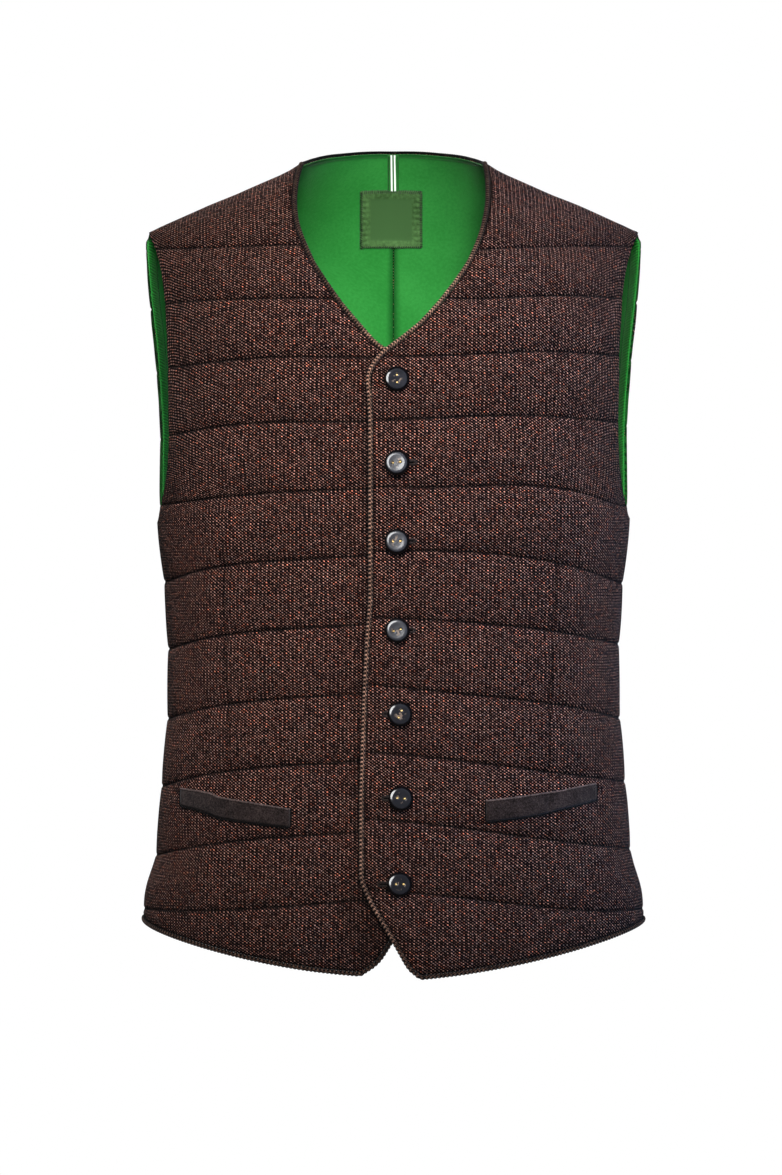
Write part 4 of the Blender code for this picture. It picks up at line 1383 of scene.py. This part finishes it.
def quilting(name, panel):
    """Stitches along every line of a panel but its hem, just clear of the bottom of the crease."""
    starts, ends, outs = [], [], []
    for row in np.flatnonzero(panel["s"] == 0)[1:]:
        place, normal, _, at = even_line(panel["outer"][row], panel["normals"][row], LINE_STEP, 5)
        first = np.arange(12, len(at) - 20, int(STITCH_STEP / LINE_STEP))
        starts.append(place[first])
        ends.append(place[first + int(STITCH / LINE_STEP)])
        outs.append(normal[first])
    start, end, out = (np.concatenate(group) for group in (starts, ends, outs))
    threads(name, start + out * 0.05, end + out * 0.05, out, 0.26, 0.18, THREAD_BROWN, "tweed")


for name, panel in (("left", left), ("right", right), ("back", back)):
    quilting("quilting_stitches_" + name, panel)

# %% [markdown]
# ## Pieces laid on a panel
# Welts, buttons and buttonholes sit on the fronts, and the label and tape on the lining. `place_on` finds
# where a level line at (x, z) meets a panel. It starts from the panel's nearest grid point, and six times
# divides what it misses by in x and z by how much they change from row to row and column to column.

# %% Find places on a panel
NEARBY = 12  # how far round the wanted places grid points are searched


def read_grid(grid, i, j):
    """Straight-line reading between a grid's four nearest points, at fractional rows and columns."""
    i0 = np.clip(np.floor(i).astype(int), 0, grid.shape[0] - 2)
    j0 = np.clip(np.floor(j).astype(int), 0, grid.shape[1] - 2)
    a, b = (i - i0)[:, None], (j - j0)[:, None]
    low = grid[i0, j0] * (1 - b) + grid[i0, j0 + 1] * b
    high = grid[i0 + 1, j0] * (1 - b) + grid[i0 + 1, j0 + 1] * b
    return low * (1 - a) + high * a


def place_on(grid, normals, x, z):
    """Places on a grid at (x, z) as seen from the front, and the cloth's normals there."""
    x, z = np.broadcast_arrays(np.asarray(x, float), np.asarray(z, float))
    target = np.stack([x.ravel(), z.ravel()], axis=1)
    rows, columns = grid.shape[:2]
    seen = grid[..., [0, 2]]
    flat = seen.reshape(-1, 2)
    close = (flat > target.min(axis=0) - NEARBY) & (flat < target.max(axis=0) + NEARBY)
    inside = np.flatnonzero(np.all(close, axis=1))
    nearest = inside[((target[:, None] - flat[inside]) ** 2).sum(axis=2).argmin(axis=1)]
    i, j = (nearest // columns).astype(float), (nearest % columns).astype(float)
    by_row, by_column = np.gradient(seen, axis=0), np.gradient(seen, axis=1)
    for _ in range(6):
        miss = target - read_grid(seen, i, j)
        a, b = read_grid(by_row, i, j), read_grid(by_column, i, j)
        area = a[:, 0] * b[:, 1] - a[:, 1] * b[:, 0]
        area = np.where(np.abs(area) < 1e-4, 1e-4, area)
        up = (miss[:, 0] * b[:, 1] - miss[:, 1] * b[:, 0]) / area
        over = (a[:, 0] * miss[:, 1] - a[:, 1] * miss[:, 0]) / area
        i = np.clip(i + np.clip(up, -2, 2), 0, rows - 1)
        j = np.clip(j + np.clip(over, -2, 2), 0, columns - 1)
    shape = (*x.shape, 3)
    return read_grid(grid, i, j).reshape(shape), unit(read_grid(normals, i, j)).reshape(shape)


# %% Welts
LEFT_WELT = (
    # x, height of the top, height of the bottom
    (72.0, -503.3, -520.1), (95.0, -500.8, -517.6), (117.0, -497.9, -514.4), (130.5, -496.3, -511.0),
    (142.0, -494.2, -508.6), (159.0, -491.4, -504.6),
)
RIGHT_WELT = (
    (-167.5, -495.6, -509.4), (-154.0, -497.0, -512.0), (-142.0, -498.4, -515.4),
    (-137.5, -501.3, -517.8), (-126.0, -503.0, -519.4), (-103.0, -506.4, -522.0), (-80.5, -510.0, -524.4),
)
WELT_THICK, WELT_COLUMNS, WELT_END = 1.9, 121, 2.0
LIP_FROM, STITCHED_AT = 0.915, 0.9  # shares of the welt's height
LIP_RIDGE, LIP_DIP = (0.55, 0.95, 0.035), (-0.35, 0.87, 0.03)  # height, share of the welt's height, width


def welt(node, panel, table, seed):
    """A strip of felt with rounded sides and a turned lip along its top, sewn down round three sides. Its lip
    is painted lighter as a highlight, and the seam round three sides is thick near-black thread that paints
    the shadow there.
    """
    name, rows = node + "_felt", np.array(table, float)
    x = np.linspace(rows[0, 0], rows[-1, 0], WELT_COLUMNS)
    top, bottom = (along(rows[:, [0, column]], x, 3) for column in (1, 2))
    v = np.concatenate([[0, 0.03, 0.08], np.linspace(0.16, 0.8, 9), [0.86, 0.9, 0.93, 0.97, 1.0]])
    xs = np.broadcast_to(x, (len(v), len(x)))
    zs = bottom + (top - bottom) * v[:, None]
    place, out = place_on(panel["outer"], panel["normals"], xs, zs)
    ends = arc(np.minimum(np.abs(x - x[0]), np.abs(x - x[-1])) / WELT_END)
    body = np.sqrt(1 - np.clip(np.abs(2 * v - 1), 0, 1) ** 9)[:, None]
    lip = sum(height * bell(v - at, width) for height, at, width in (LIP_RIDGE, LIP_DIP))[:, None]
    slack = 0.3 * ripple(x, 34, seed) * np.sin(np.pi * v)[:, None]
    high = (WELT_THICK + slack) * body * ends + lip * ends
    in_lip = np.broadcast_to((v > LIP_FROM)[:-1, None], (len(v) - 1, len(x) - 1)).astype(int)
    piece = shell(name, place + out * (high + 0.15)[..., None], (place + out * 0.1)[::2, ::2],
                  (FELT, WELT_LIP_HIGHLIGHTED, FELT), np.stack([xs, zs], axis=-1), in_lip)
    ridden(piece, "felt", node)

    keep, row = np.arange(2, len(x) - 3, 3), np.argmin(np.abs(v - STITCHED_AT))
    base = place[row] + out[row] * 1.75
    threads(name + "_stitches", base[keep], base[keep + 2], out[0][keep], 0.22, 0.1, THREAD_BROWN, "felt")
    # thick near-black thread along the welt's ends and bottom: a real seam, drawn as painted shadow
    edge = [np.concatenate([grid[::-1, 0], grid[0], grid[:, -1]]) for grid in (place, out)]
    spot, way, side, at = even_line(*edge, 0.5, 3)
    sewn = spot + side * 0.65 + way * 0.35
    first = np.arange(0, len(at) - 4, 3)
    threads(name + "_seam", sewn[first], sewn[first + 4], way[first], 0.72, 0.25, SHADOW_BLACK, "felt")


welt("pocket_welt_left", left, LEFT_WELT, 81)
welt("pocket_welt_right", right, RIGHT_WELT, 82)

# %% [markdown]
# ## Buttons
# The buttons are turned from dark horn, with a rounded rim, a shallow dish and two holes, and a bright
# thread shows in each hole. A cubic through the corners of the profile gives radius and height, the
# profile is carried round the button's own axis, and the holes are sunk into that surface, so each button
# stays one closed form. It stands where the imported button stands, and leans with the cloth under it.

# %% Turn the buttons
BUTTON_PROFILE = (
    # radius, height above the underside
    (0.01, 0.45), (7.2, 0.3), (8.6, 0.0), (9.5, 0.55), (9.8, 1.2), (9.72, 1.75), (9.35, 2.35), (8.7, 2.85),
    (7.9, 3.22), (7.1, 3.46), (6.4, 3.56), (5.6, 3.54), (4.6, 3.48), (3.6, 3.43), (2.2, 3.4), (0.01, 3.4),
)
BUTTON_MIDDLE, BUTTON_RINGS, BUTTON_TURNS = 1.8, 84, 72
HOLE_OFF, HOLE_WIDE, HOLE_DEEP = 2.9, 1.0, 1.3
GREY_TILT = (-0.13, 0.07)  # the grey buttons lean towards the light
STRANDS, SHANKS = (-0.42, 0.0, 0.42), (-1.2, -0.4, 0.4, 1.2)  # sideways places of the threads


def button_axes(x, z, tilt):
    """The cloth's mean normal round a button, tilted by (x, z), and the button's own right and up."""
    turn = np.linspace(0, 2 * np.pi, 9)[:-1]
    _, out = place_on(left["points"], left["normals"], x + 9 * np.cos(turn), z + 9 * np.sin(turn))
    normal = unit(unit(out.mean(axis=0)) + np.array((tilt[0], 0, tilt[1])))
    up = unit(np.array((0, 0, 1)) - normal[2] * normal)
    return np.cross(up, normal), up, normal


def turned_button(node, centre, axes, holes, finish):
    """Radius and height of the profile carried round; near a hole the height drops by a steep bell."""
    right_way, up, normal = axes
    rows = np.array(BUTTON_PROFILE)
    run = np.concatenate([[0], np.cumsum(np.linalg.norm(np.diff(rows, axis=0), axis=1))])
    at = np.linspace(0, run[-1], BUTTON_RINGS)
    radius, height = cubic(run, rows[:, 0], at), cubic(run, rows[:, 1], at)
    turn = np.arange(BUTTON_TURNS) * 2 * np.pi / BUTTON_TURNS
    flat = radius[:, None, None] * np.stack([np.cos(turn), np.sin(turn)], axis=-1)
    high = height[:, None] + 0 * flat[..., 0]
    for hole in holes:
        off = np.linalg.norm(flat - hole, axis=2)
        high = high - HOLE_DEEP * bell(off, HOLE_WIDE, 4) * (at > run[-1] / 2)[:, None]
    points = centre + flat[..., :1] * right_way + flat[..., 1:] * up
    points = points + (high - BUTTON_MIDDLE)[..., None] * normal
    ring = np.arange(BUTTON_RINGS * BUTTON_TURNS).reshape(BUTTON_RINGS, BUTTON_TURNS)
    faces = [ring_quads(ring), ring[:1, ::-1], ring[-1:]]
    piece = make(node + "_horn", points.reshape(-1, 3), faces, (finish,), uv=flat.reshape(-1, 2))
    ridden(piece, "horn", node)


def button_and_thread(number, x, z, lean, grey):
    """One button at its packed place, with the gap under it and the ends of its threads."""
    node = f"button_{number}"
    low, high = (np.array(corner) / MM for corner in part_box(node))
    centre, axes = (low + high) / 2, button_axes(x, z, [part * grey for part in GREY_TILT])
    right_way, up, normal = axes
    lean = math.radians(lean)
    holes = np.array((1, -1))[:, None] * HOLE_OFF * np.array((math.cos(lean), math.sin(lean)))
    turned_button(node, centre, axes, holes, HORN_PAINTED_GREY if grey else HORN_BLACK)

    spots = centre + holes[:, :1] * right_way + holes[:, 1:] * up + normal * 1.2
    beside = np.repeat(spots, len(STRANDS), axis=0) + np.tile(STRANDS, 2)[:, None] * right_way
    knots = [beside - 0.55 * up, beside + 0.55 * up]
    cloth, _ = place_on(left["outer"], left["normals"], np.array([x]), np.array([z]))
    gap = float((centre - normal * BUTTON_MIDDLE - cloth[0]) @ normal)
    shank = cloth - normal * 0.4 + np.array(SHANKS)[:, None] * right_way
    shank = [shank, shank + normal * (gap + 0.9)]
    print(node, "stands", round(gap, 2), "mm off the cloth under its middle")
    return knots, shank, up, normal


knot_rows, shank_rows = [], []
for number, (x, z, lean, grey, *_) in enumerate(BUTTONS, 1):
    knots, shank, up, normal = button_and_thread(number, x, z, lean, grey)
    knot_rows.append([*knots, np.tile(normal, (len(knots[0]), 1))])
    shank_rows.append([*shank, np.tile(up, (len(shank[0]), 1))])


def joined(rows):
    """Starts, ends and ways out of all buttons' threads."""
    return [np.concatenate(group) for group in zip(*rows)]


threads("button_thread_ends", *joined(knot_rows), 0.36, 0.62, THREAD_GOLD, "horn")
threads("button_shanks", *joined(shank_rows), 0.5, 0.0, THREAD_BROWN, "horn")

# %% [markdown]
# ### Buttonholes
# The left front is worked with seven buttonholes. Each is a slit, painted near-black as shadow, between two
# lips of close satin stitches that fan out round its ends. All but its last few millimetres lie under the
# button.

# %% Work the buttonholes
HOLE_HALF, LIP_WIDE, SATIN_STEP = 0.45, 1.9, 0.6
SLIT_HALF, SLIT_COLUMNS = 0.75, 25


def buttonhole_outline(x, z, first, last):
    """Places round a slit with the way out of it: along the top, round the end and back underneath."""
    run = np.arange(x + first, x + last, SATIN_STEP)
    fan = np.linspace(0, np.pi, 7)[1:-1]
    xs = np.concatenate([run, x + last + 0 * fan, run[::-1], x + first + 0 * fan])
    way = np.concatenate([0 * run + np.pi / 2, np.pi / 2 - fan, 0 * run - np.pi / 2, -np.pi / 2 - fan])
    return xs, z + 0 * xs, way


outlines = [buttonhole_outline(x, z, first, last) for x, z, _, _, first, last in BUTTONS]
xs, zs, way = np.concatenate(outlines, axis=1)
satin = []
for reach in (HOLE_HALF, HOLE_HALF + LIP_WIDE):
    place, out = place_on(left["outer"], left["normals"], xs + reach * np.cos(way), zs + reach * np.sin(way))
    satin.append(place + out * 0.1)
threads("buttonhole_stitches", satin[0], satin[1], out, 0.38, 0.75, THREAD_GREY, "tweed")

for number, (x, z, _, _, first, last) in enumerate(BUTTONS, 1):
    xs = np.linspace(x + first, x + last, SLIT_COLUMNS)
    lens = SLIT_HALF * np.sqrt(np.maximum(1 - np.linspace(-1, 1, SLIT_COLUMNS) ** 6, 0)) + 0.05
    zs = z + np.linspace(-1, 1, 5)[:, None] * lens
    place, out = place_on(left["outer"], left["normals"], np.broadcast_to(xs, zs.shape), zs)
    slit = shell(f"buttonhole_slit_{number}", place + out * 0.3, (place + out * 0.05)[::2, ::2],
                 (SHADOW_BLACK,) * 3, place[..., [0, 2]])
    ridden(slit, "tweed")

# %% [markdown]
# ## Inside the neck
# A woven patch, left bare, and a striped tape above it are sewn to the lining with dark overcast stitches,
# which pucker the patch's border. A row of small stitches follows the neck's edge.

# %% Lay the patch and the tape
LABEL_BOX, TAPE_BOX = (-27.5, 23.8, -58.4, -13.6), (-5.0, 4.6, -13.0, 15.4)
LABEL_BOW = 1.1
LINING_FACE, FOLD_ROOM = SEAM_GAP + LINING, 0.9  # lining's face off the wall, and what its folds add


def place_in(x, z, lift):
    """Places inside the back at (x, z), `lift` in front of the lining's face, and the way inwards."""
    place, out = place_on(back["inner"], -back["normals"], x, z)
    return place + out * (LINING_FACE + np.asarray(lift))[..., None], out


def from_edges(columns, rows, box):
    """Distance to the sides, and to the top and bottom, of a rectangle."""
    beside = np.minimum(columns - box[0], box[1] - columns)
    above = np.minimum(rows - box[2], box[3] - rows)
    return beside, above


def bowed(x, z, box, bow):
    """Height z, bowed up by `bow` over the middle of the box's top and less further down."""
    across = (2 * x - box[0] - box[1]) / (box[1] - box[0])
    return z + bow * (1 - np.clip(across, -1, 1) ** 2) * np.clip((z - box[2]) / (box[3] - box[2]), 0, 1)


def laid_cloth(name, box, counts, thick, relief, cloth, slot, node, sheared=0.0, bow=0.0):
    """A flat piece on the lining: thickness times a turned edge, and a relief of its own on top."""
    across, up = np.linspace(0, 1, counts[0]), np.linspace(0, 1, counts[1])
    xs = box[0] + (box[1] - box[0]) * across + 0 * up[:, None]
    zs = box[2] + (box[3] - box[2]) * up[:, None] + 0 * across
    beside, above = from_edges(xs, zs, box)
    turned_edge = arc(np.minimum(beside, above) / 0.8)
    lift = thick * (0.35 + 0.65 * turned_edge) + relief(xs, zs, beside, above)
    laid = bowed(xs, zs, box, bow)
    top, _ = place_in(xs, laid, FOLD_ROOM + lift)
    foot, _ = place_in(xs, laid, 0.2 + 0 * xs)
    middle = (box[0] + box[1]) / 2, (box[2] + box[3]) / 2
    uv = np.stack([xs - middle[0] + sheared * (up[:, None] - 0.5), zs - middle[1]], axis=-1)
    piece = shell(name, top, foot[::2, ::2], (cloth,) * 3, uv)
    ridden(piece, slot, node)


def label_relief(xs, zs, beside, above):
    """Puckers that run in from the sewn edge and die out at the pressed inner square."""
    near = np.minimum(beside, above)
    sides = ripple(zs, 4.6, 91) * bell(beside - 3.5, 3.2) * (beside < above)
    ends = ripple(xs, 6.5, 92) * bell(above - 3.0, 2.4) * (above <= beside)
    wave = 0.25 * ripple(xs + 0.6 * zs, 31, 93) * np.clip(near / 6, 0, 1)
    return 0.5 * bell(near - 3.4, 2.6) + 0.38 * (sides + ends) + wave


def tape_relief(xs, zs, beside, above):
    """A raised middle between the two sewn sides."""
    return 0.25 * smoothstep((beside - 1.2) / 1.2) + 0.08 * ripple(zs, 6, 95)


laid_cloth("neck_label_cloth", LABEL_BOX, (97, 85), 0.7, label_relief, LABEL_GREEN, "patch", "neck_label",
           bow=LABEL_BOW)
laid_cloth("neck_tape_cloth", TAPE_BOX, (25, 41), 0.45, tape_relief, TAPE_GREEN, "tape", "neck_tape", 0.5)

# %% Sew the patch, the tape and the neck's edge
def sewn_on(name, starts, ends, thick, rise, radius, box, bow=0.0):
    """Threads between two rows of (x, z) places: from the lining up to what is laid on it."""
    starts, ends = ((spots[:, 0], bowed(spots[:, 0], spots[:, 1], box, bow)) for spots in (starts, ends))
    first, _ = place_in(*starts, 0.5 + 0 * starts[0])
    last, out = place_in(*ends, FOLD_ROOM + thick + 0 * ends[0])
    threads(name, first, last, out, radius, rise, THREAD_DARK, "lining")


def along_box(box, pitch, sides):
    """Places every `pitch` along the named sides of a rectangle, with the way in and the way on."""
    x0, x1, z0, z1 = box
    corners = {"bottom": ((x0, z0), (x1, z0)), "right": ((x1, z0), (x1, z1)),
               "top": ((x1, z1), (x0, z1)), "left": ((x0, z1), (x0, z0))}
    spots, inward, onward = [], [], []
    for side in sides:
        first, last = (np.array(c, float) for c in corners[side])
        length = np.linalg.norm(last - first)
        way = (last - first) / length
        at = np.arange(pitch / 2, length, pitch)
        spots.append(first + at[:, None] * way)
        onward.append(np.tile(way, (len(at), 1)))
        inward.append(np.tile((-way[1], way[0]), (len(at), 1)))
    return [np.concatenate(group) for group in (spots, inward, onward)]


LABEL_PITCH, TAPE_PITCH, NECK_STITCHES_UNDER = 1.75, 1.5, 3.2

spots, inward, onward = along_box(LABEL_BOX, LABEL_PITCH, ("bottom", "right", "top", "left"))
jitter = np.random.default_rng(17).uniform(-0.35, 0.35, (len(spots), 1))
starts, ends = spots - 0.8 * inward + jitter * onward, spots + 1.7 * inward + (0.9 + jitter) * onward
sewn_on("label_stitches", starts, ends, 1.3, 0.75, 0.36, LABEL_BOX, LABEL_BOW)
spots, inward, onward = along_box(TAPE_BOX, TAPE_PITCH, ("right", "left"))
starts, ends = spots + 0.3 * inward, spots + 0.75 * inward + 1.05 * onward
sewn_on("tape_stitches", starts, ends, 0.75, 0.55, 0.33, TAPE_BOX)

xs = np.linspace(-70, 70, 561)
place, out = place_in(xs, back_top(xs) + neck_lift(xs) - NECK_STITCHES_UNDER, 0.7 + 0 * xs)
first = np.arange(4, len(xs) - 8, 7)
threads("neck_edge_stitches", place[first], place[first + 4], out[first], 0.24, 0.15, THREAD_DARK, "lining")

# %% [markdown]
# ### Topstitching beside the piping
# Low on the left front's cutaway edge a row of lighter stitches holds the piping's seam down.

# %% Topstitch the cutaway edge
low_edge = (left["outer"][:, 5, 2] < -560) & (left["outer"][:, 5, 2] > -622)
place, out, _, at = even_line(left["outer"][low_edge, 5], left["normals"][low_edge, 5], LINE_STEP, 5)
first = np.arange(6, len(at) - 14, 13)
threads("cutaway_stitches", place[first], place[first + 9], out[first], 0.28, 0.22, THREAD_GREY, "tweed")

# %% [markdown]
# ## The stage
# The photograph shows the waistcoat level with the camera, from about four metres with a long lens. A
# pale floor and a white sky surround it. The sky looks white to the camera but lights the cloth softly.
# The key lamp stands high in front behind a grid, so its light falls off from the shoulders to the hem.
# A weak warm fill, a cool lamp to the right, one behind and one kept to the green pieces and the threads
# in the buttons complete it, and a card that lights no cloth shines in the horn.

# %% Floor, sky, lamps and camera
FLOOR_HEIGHT, FLOOR_RADIUS, FLOOR_RINGS, FLOOR_TURNS = -1.15, 2.2, 12, 64
CAMERA_DISTANCE = 4.0
PICTURE_ROWS, PIXEL = 1175, 0.8  # a pixel covers 0.8 mm at the garment's middle plane
GREEN_WORDS = ("cotton", "facing", "label", "tape", "neck_edge", "button_thread")


def lamp(name, place, aim, size, power, colour, spread=180, on_cloth=True, in_gloss=True, only=None):
    """A round soft light that spreads that many degrees, and lights cloth, shows in gloss, or both. It
    may be kept to the pieces of one collection."""
    light = bpy.data.lights.new(name, "AREA")
    light.shape, light.size, light.energy, light.color = "DISK", size, power, colour
    obj = bpy.data.objects.new(name, light)
    bpy.context.scene.collection.objects.link(obj)
    obj.location = place
    direction = Vector(aim) - Vector(place)
    obj.rotation_euler = direction.to_track_quat("-Z", "Y").to_euler()
    light.spread = math.radians(spread)
    obj.visible_diffuse, obj.visible_glossy = on_cloth, in_gloss
    if only:
        obj.light_linking.receiver_collection = only


def floor():
    """A wide disc: radius times cosine and sine of the angle, in rings."""
    turns = np.linspace(0, 2 * np.pi, FLOOR_TURNS + 1)[:-1]
    ring, turn = np.meshgrid(np.linspace(0.02, FLOOR_RADIUS, FLOOR_RINGS), turns, indexing="ij")
    top = np.stack([ring * np.cos(turn), ring * np.sin(turn), 0 * ring + FLOOR_HEIGHT], axis=-1)
    at = np.arange(FLOOR_RINGS * FLOOR_TURNS).reshape(FLOOR_RINGS, FLOOR_TURNS)
    mesh = bpy.data.meshes.new("floor")
    mesh.from_pydata(top.reshape(-1, 3).tolist(), [], ring_quads(at)[:, ::-1].tolist() + [at[0].tolist()])
    made, tree, shader = material("floor_paint", 0.7)
    grain = noise(tree, object_place(tree), 9, 4.0)
    pale = colours(tree, grain, (0.0, 0.8, 0.8, 0.8), (1.0, 0.86, 0.86, 0.86))
    tree.links.new(pale, shader["Base Color"])
    mesh.materials.append(made)
    obj = bpy.data.objects.new("floor", mesh)
    bpy.context.scene.collection.objects.link(obj)
    obj.visible_glossy = False


floor()
world = bpy.data.worlds.new("studio")
bpy.context.scene.world = world
world.use_nodes = True
sky = world.node_tree
seen, lights = sky.nodes["Background"], sky.nodes.new("ShaderNodeBackground")
seen.inputs[0].default_value, seen.inputs[1].default_value = (1, 1, 1, 1), 1.0
lights.inputs[0].default_value, lights.inputs[1].default_value = (1, 0.84, 0.78, 1), 0.03
ray, mixer = sky.nodes.new("ShaderNodeLightPath"), sky.nodes.new("ShaderNodeMixShader")
sky.links.new(ray.outputs["Is Camera Ray"], mixer.inputs[0])
sky.links.new(lights.outputs[0], mixer.inputs[1])
sky.links.new(seen.outputs[0], mixer.inputs[2])
sky.links.new(mixer.outputs[0], sky.nodes["World Output"].inputs[0])

inner = bpy.data.collections.new("green_pieces")
for piece in bpy.context.scene.objects:
    if any(word in piece.name for word in GREEN_WORDS):
        if "." not in piece.name and piece.name not in frame["nodes"]:
            inner.objects.link(piece)
lamp("key", (0.12, -1.5, 0.9), (-0.02, 0, -0.35), 0.6, 1.26, (1, 0.94, 0.97), 25, in_gloss=False)
lamp("fill", (1.2, -3.2, 0.1), (0, 0, -0.3), 1.4, 0.42, (1, 0.76, 0.65), in_gloss=False)
lamp("cool_side", (2.0, -0.3, 0.0), (0.15, 0, -0.4), 1.0, 3.0, (0.28, 0.54, 1), 60, in_gloss=False)
lamp("behind", (-1.2, 2.4, 1.2), (0, 0, -0.3), 1.6, 2.5, (1, 1, 1), 50)
lamp("inside", (0.1, -3.2, 0.5), (0, 0, -0.15), 1.0, 20, (1, 1, 1), 60, in_gloss=False, only=inner)
lamp("gloss_card", (-1.6, -2.6, 0.45), (0, 0, -0.35), 1.9, 100, (1, 1, 1), on_cloth=False)

camera = bpy.data.objects.new("camera", bpy.data.cameras.new("camera"))
bpy.context.scene.collection.objects.link(camera)
camera.location = (-0.002, -CAMERA_DISTANCE, -0.338)
camera.rotation_euler = (math.pi / 2, 0, 0)
camera.data.lens = camera.data.sensor_width * CAMERA_DISTANCE / (PICTURE_ROWS * PIXEL * MM)
bpy.context.scene.camera = camera
bpy.context.scene.view_settings.view_transform = "Standard"
print("lens", round(camera.data.lens, 1), "mm")

# %% [markdown]
# ## Finish
# The triangles added are counted, in all and in the piece with the most.

# %% Sizes and finish
counts = {}
for piece in bpy.context.scene.objects:
    if piece.type == "MESH" and piece.name.split(".")[0] not in frame["nodes"]:
        piece.data.calc_loop_triangles()
        counts[piece.name] = len(piece.data.loop_triangles)
most = max(counts, key=counts.get)
print("triangles added:", sum(counts.values()), "most in one piece:", most, counts[most])
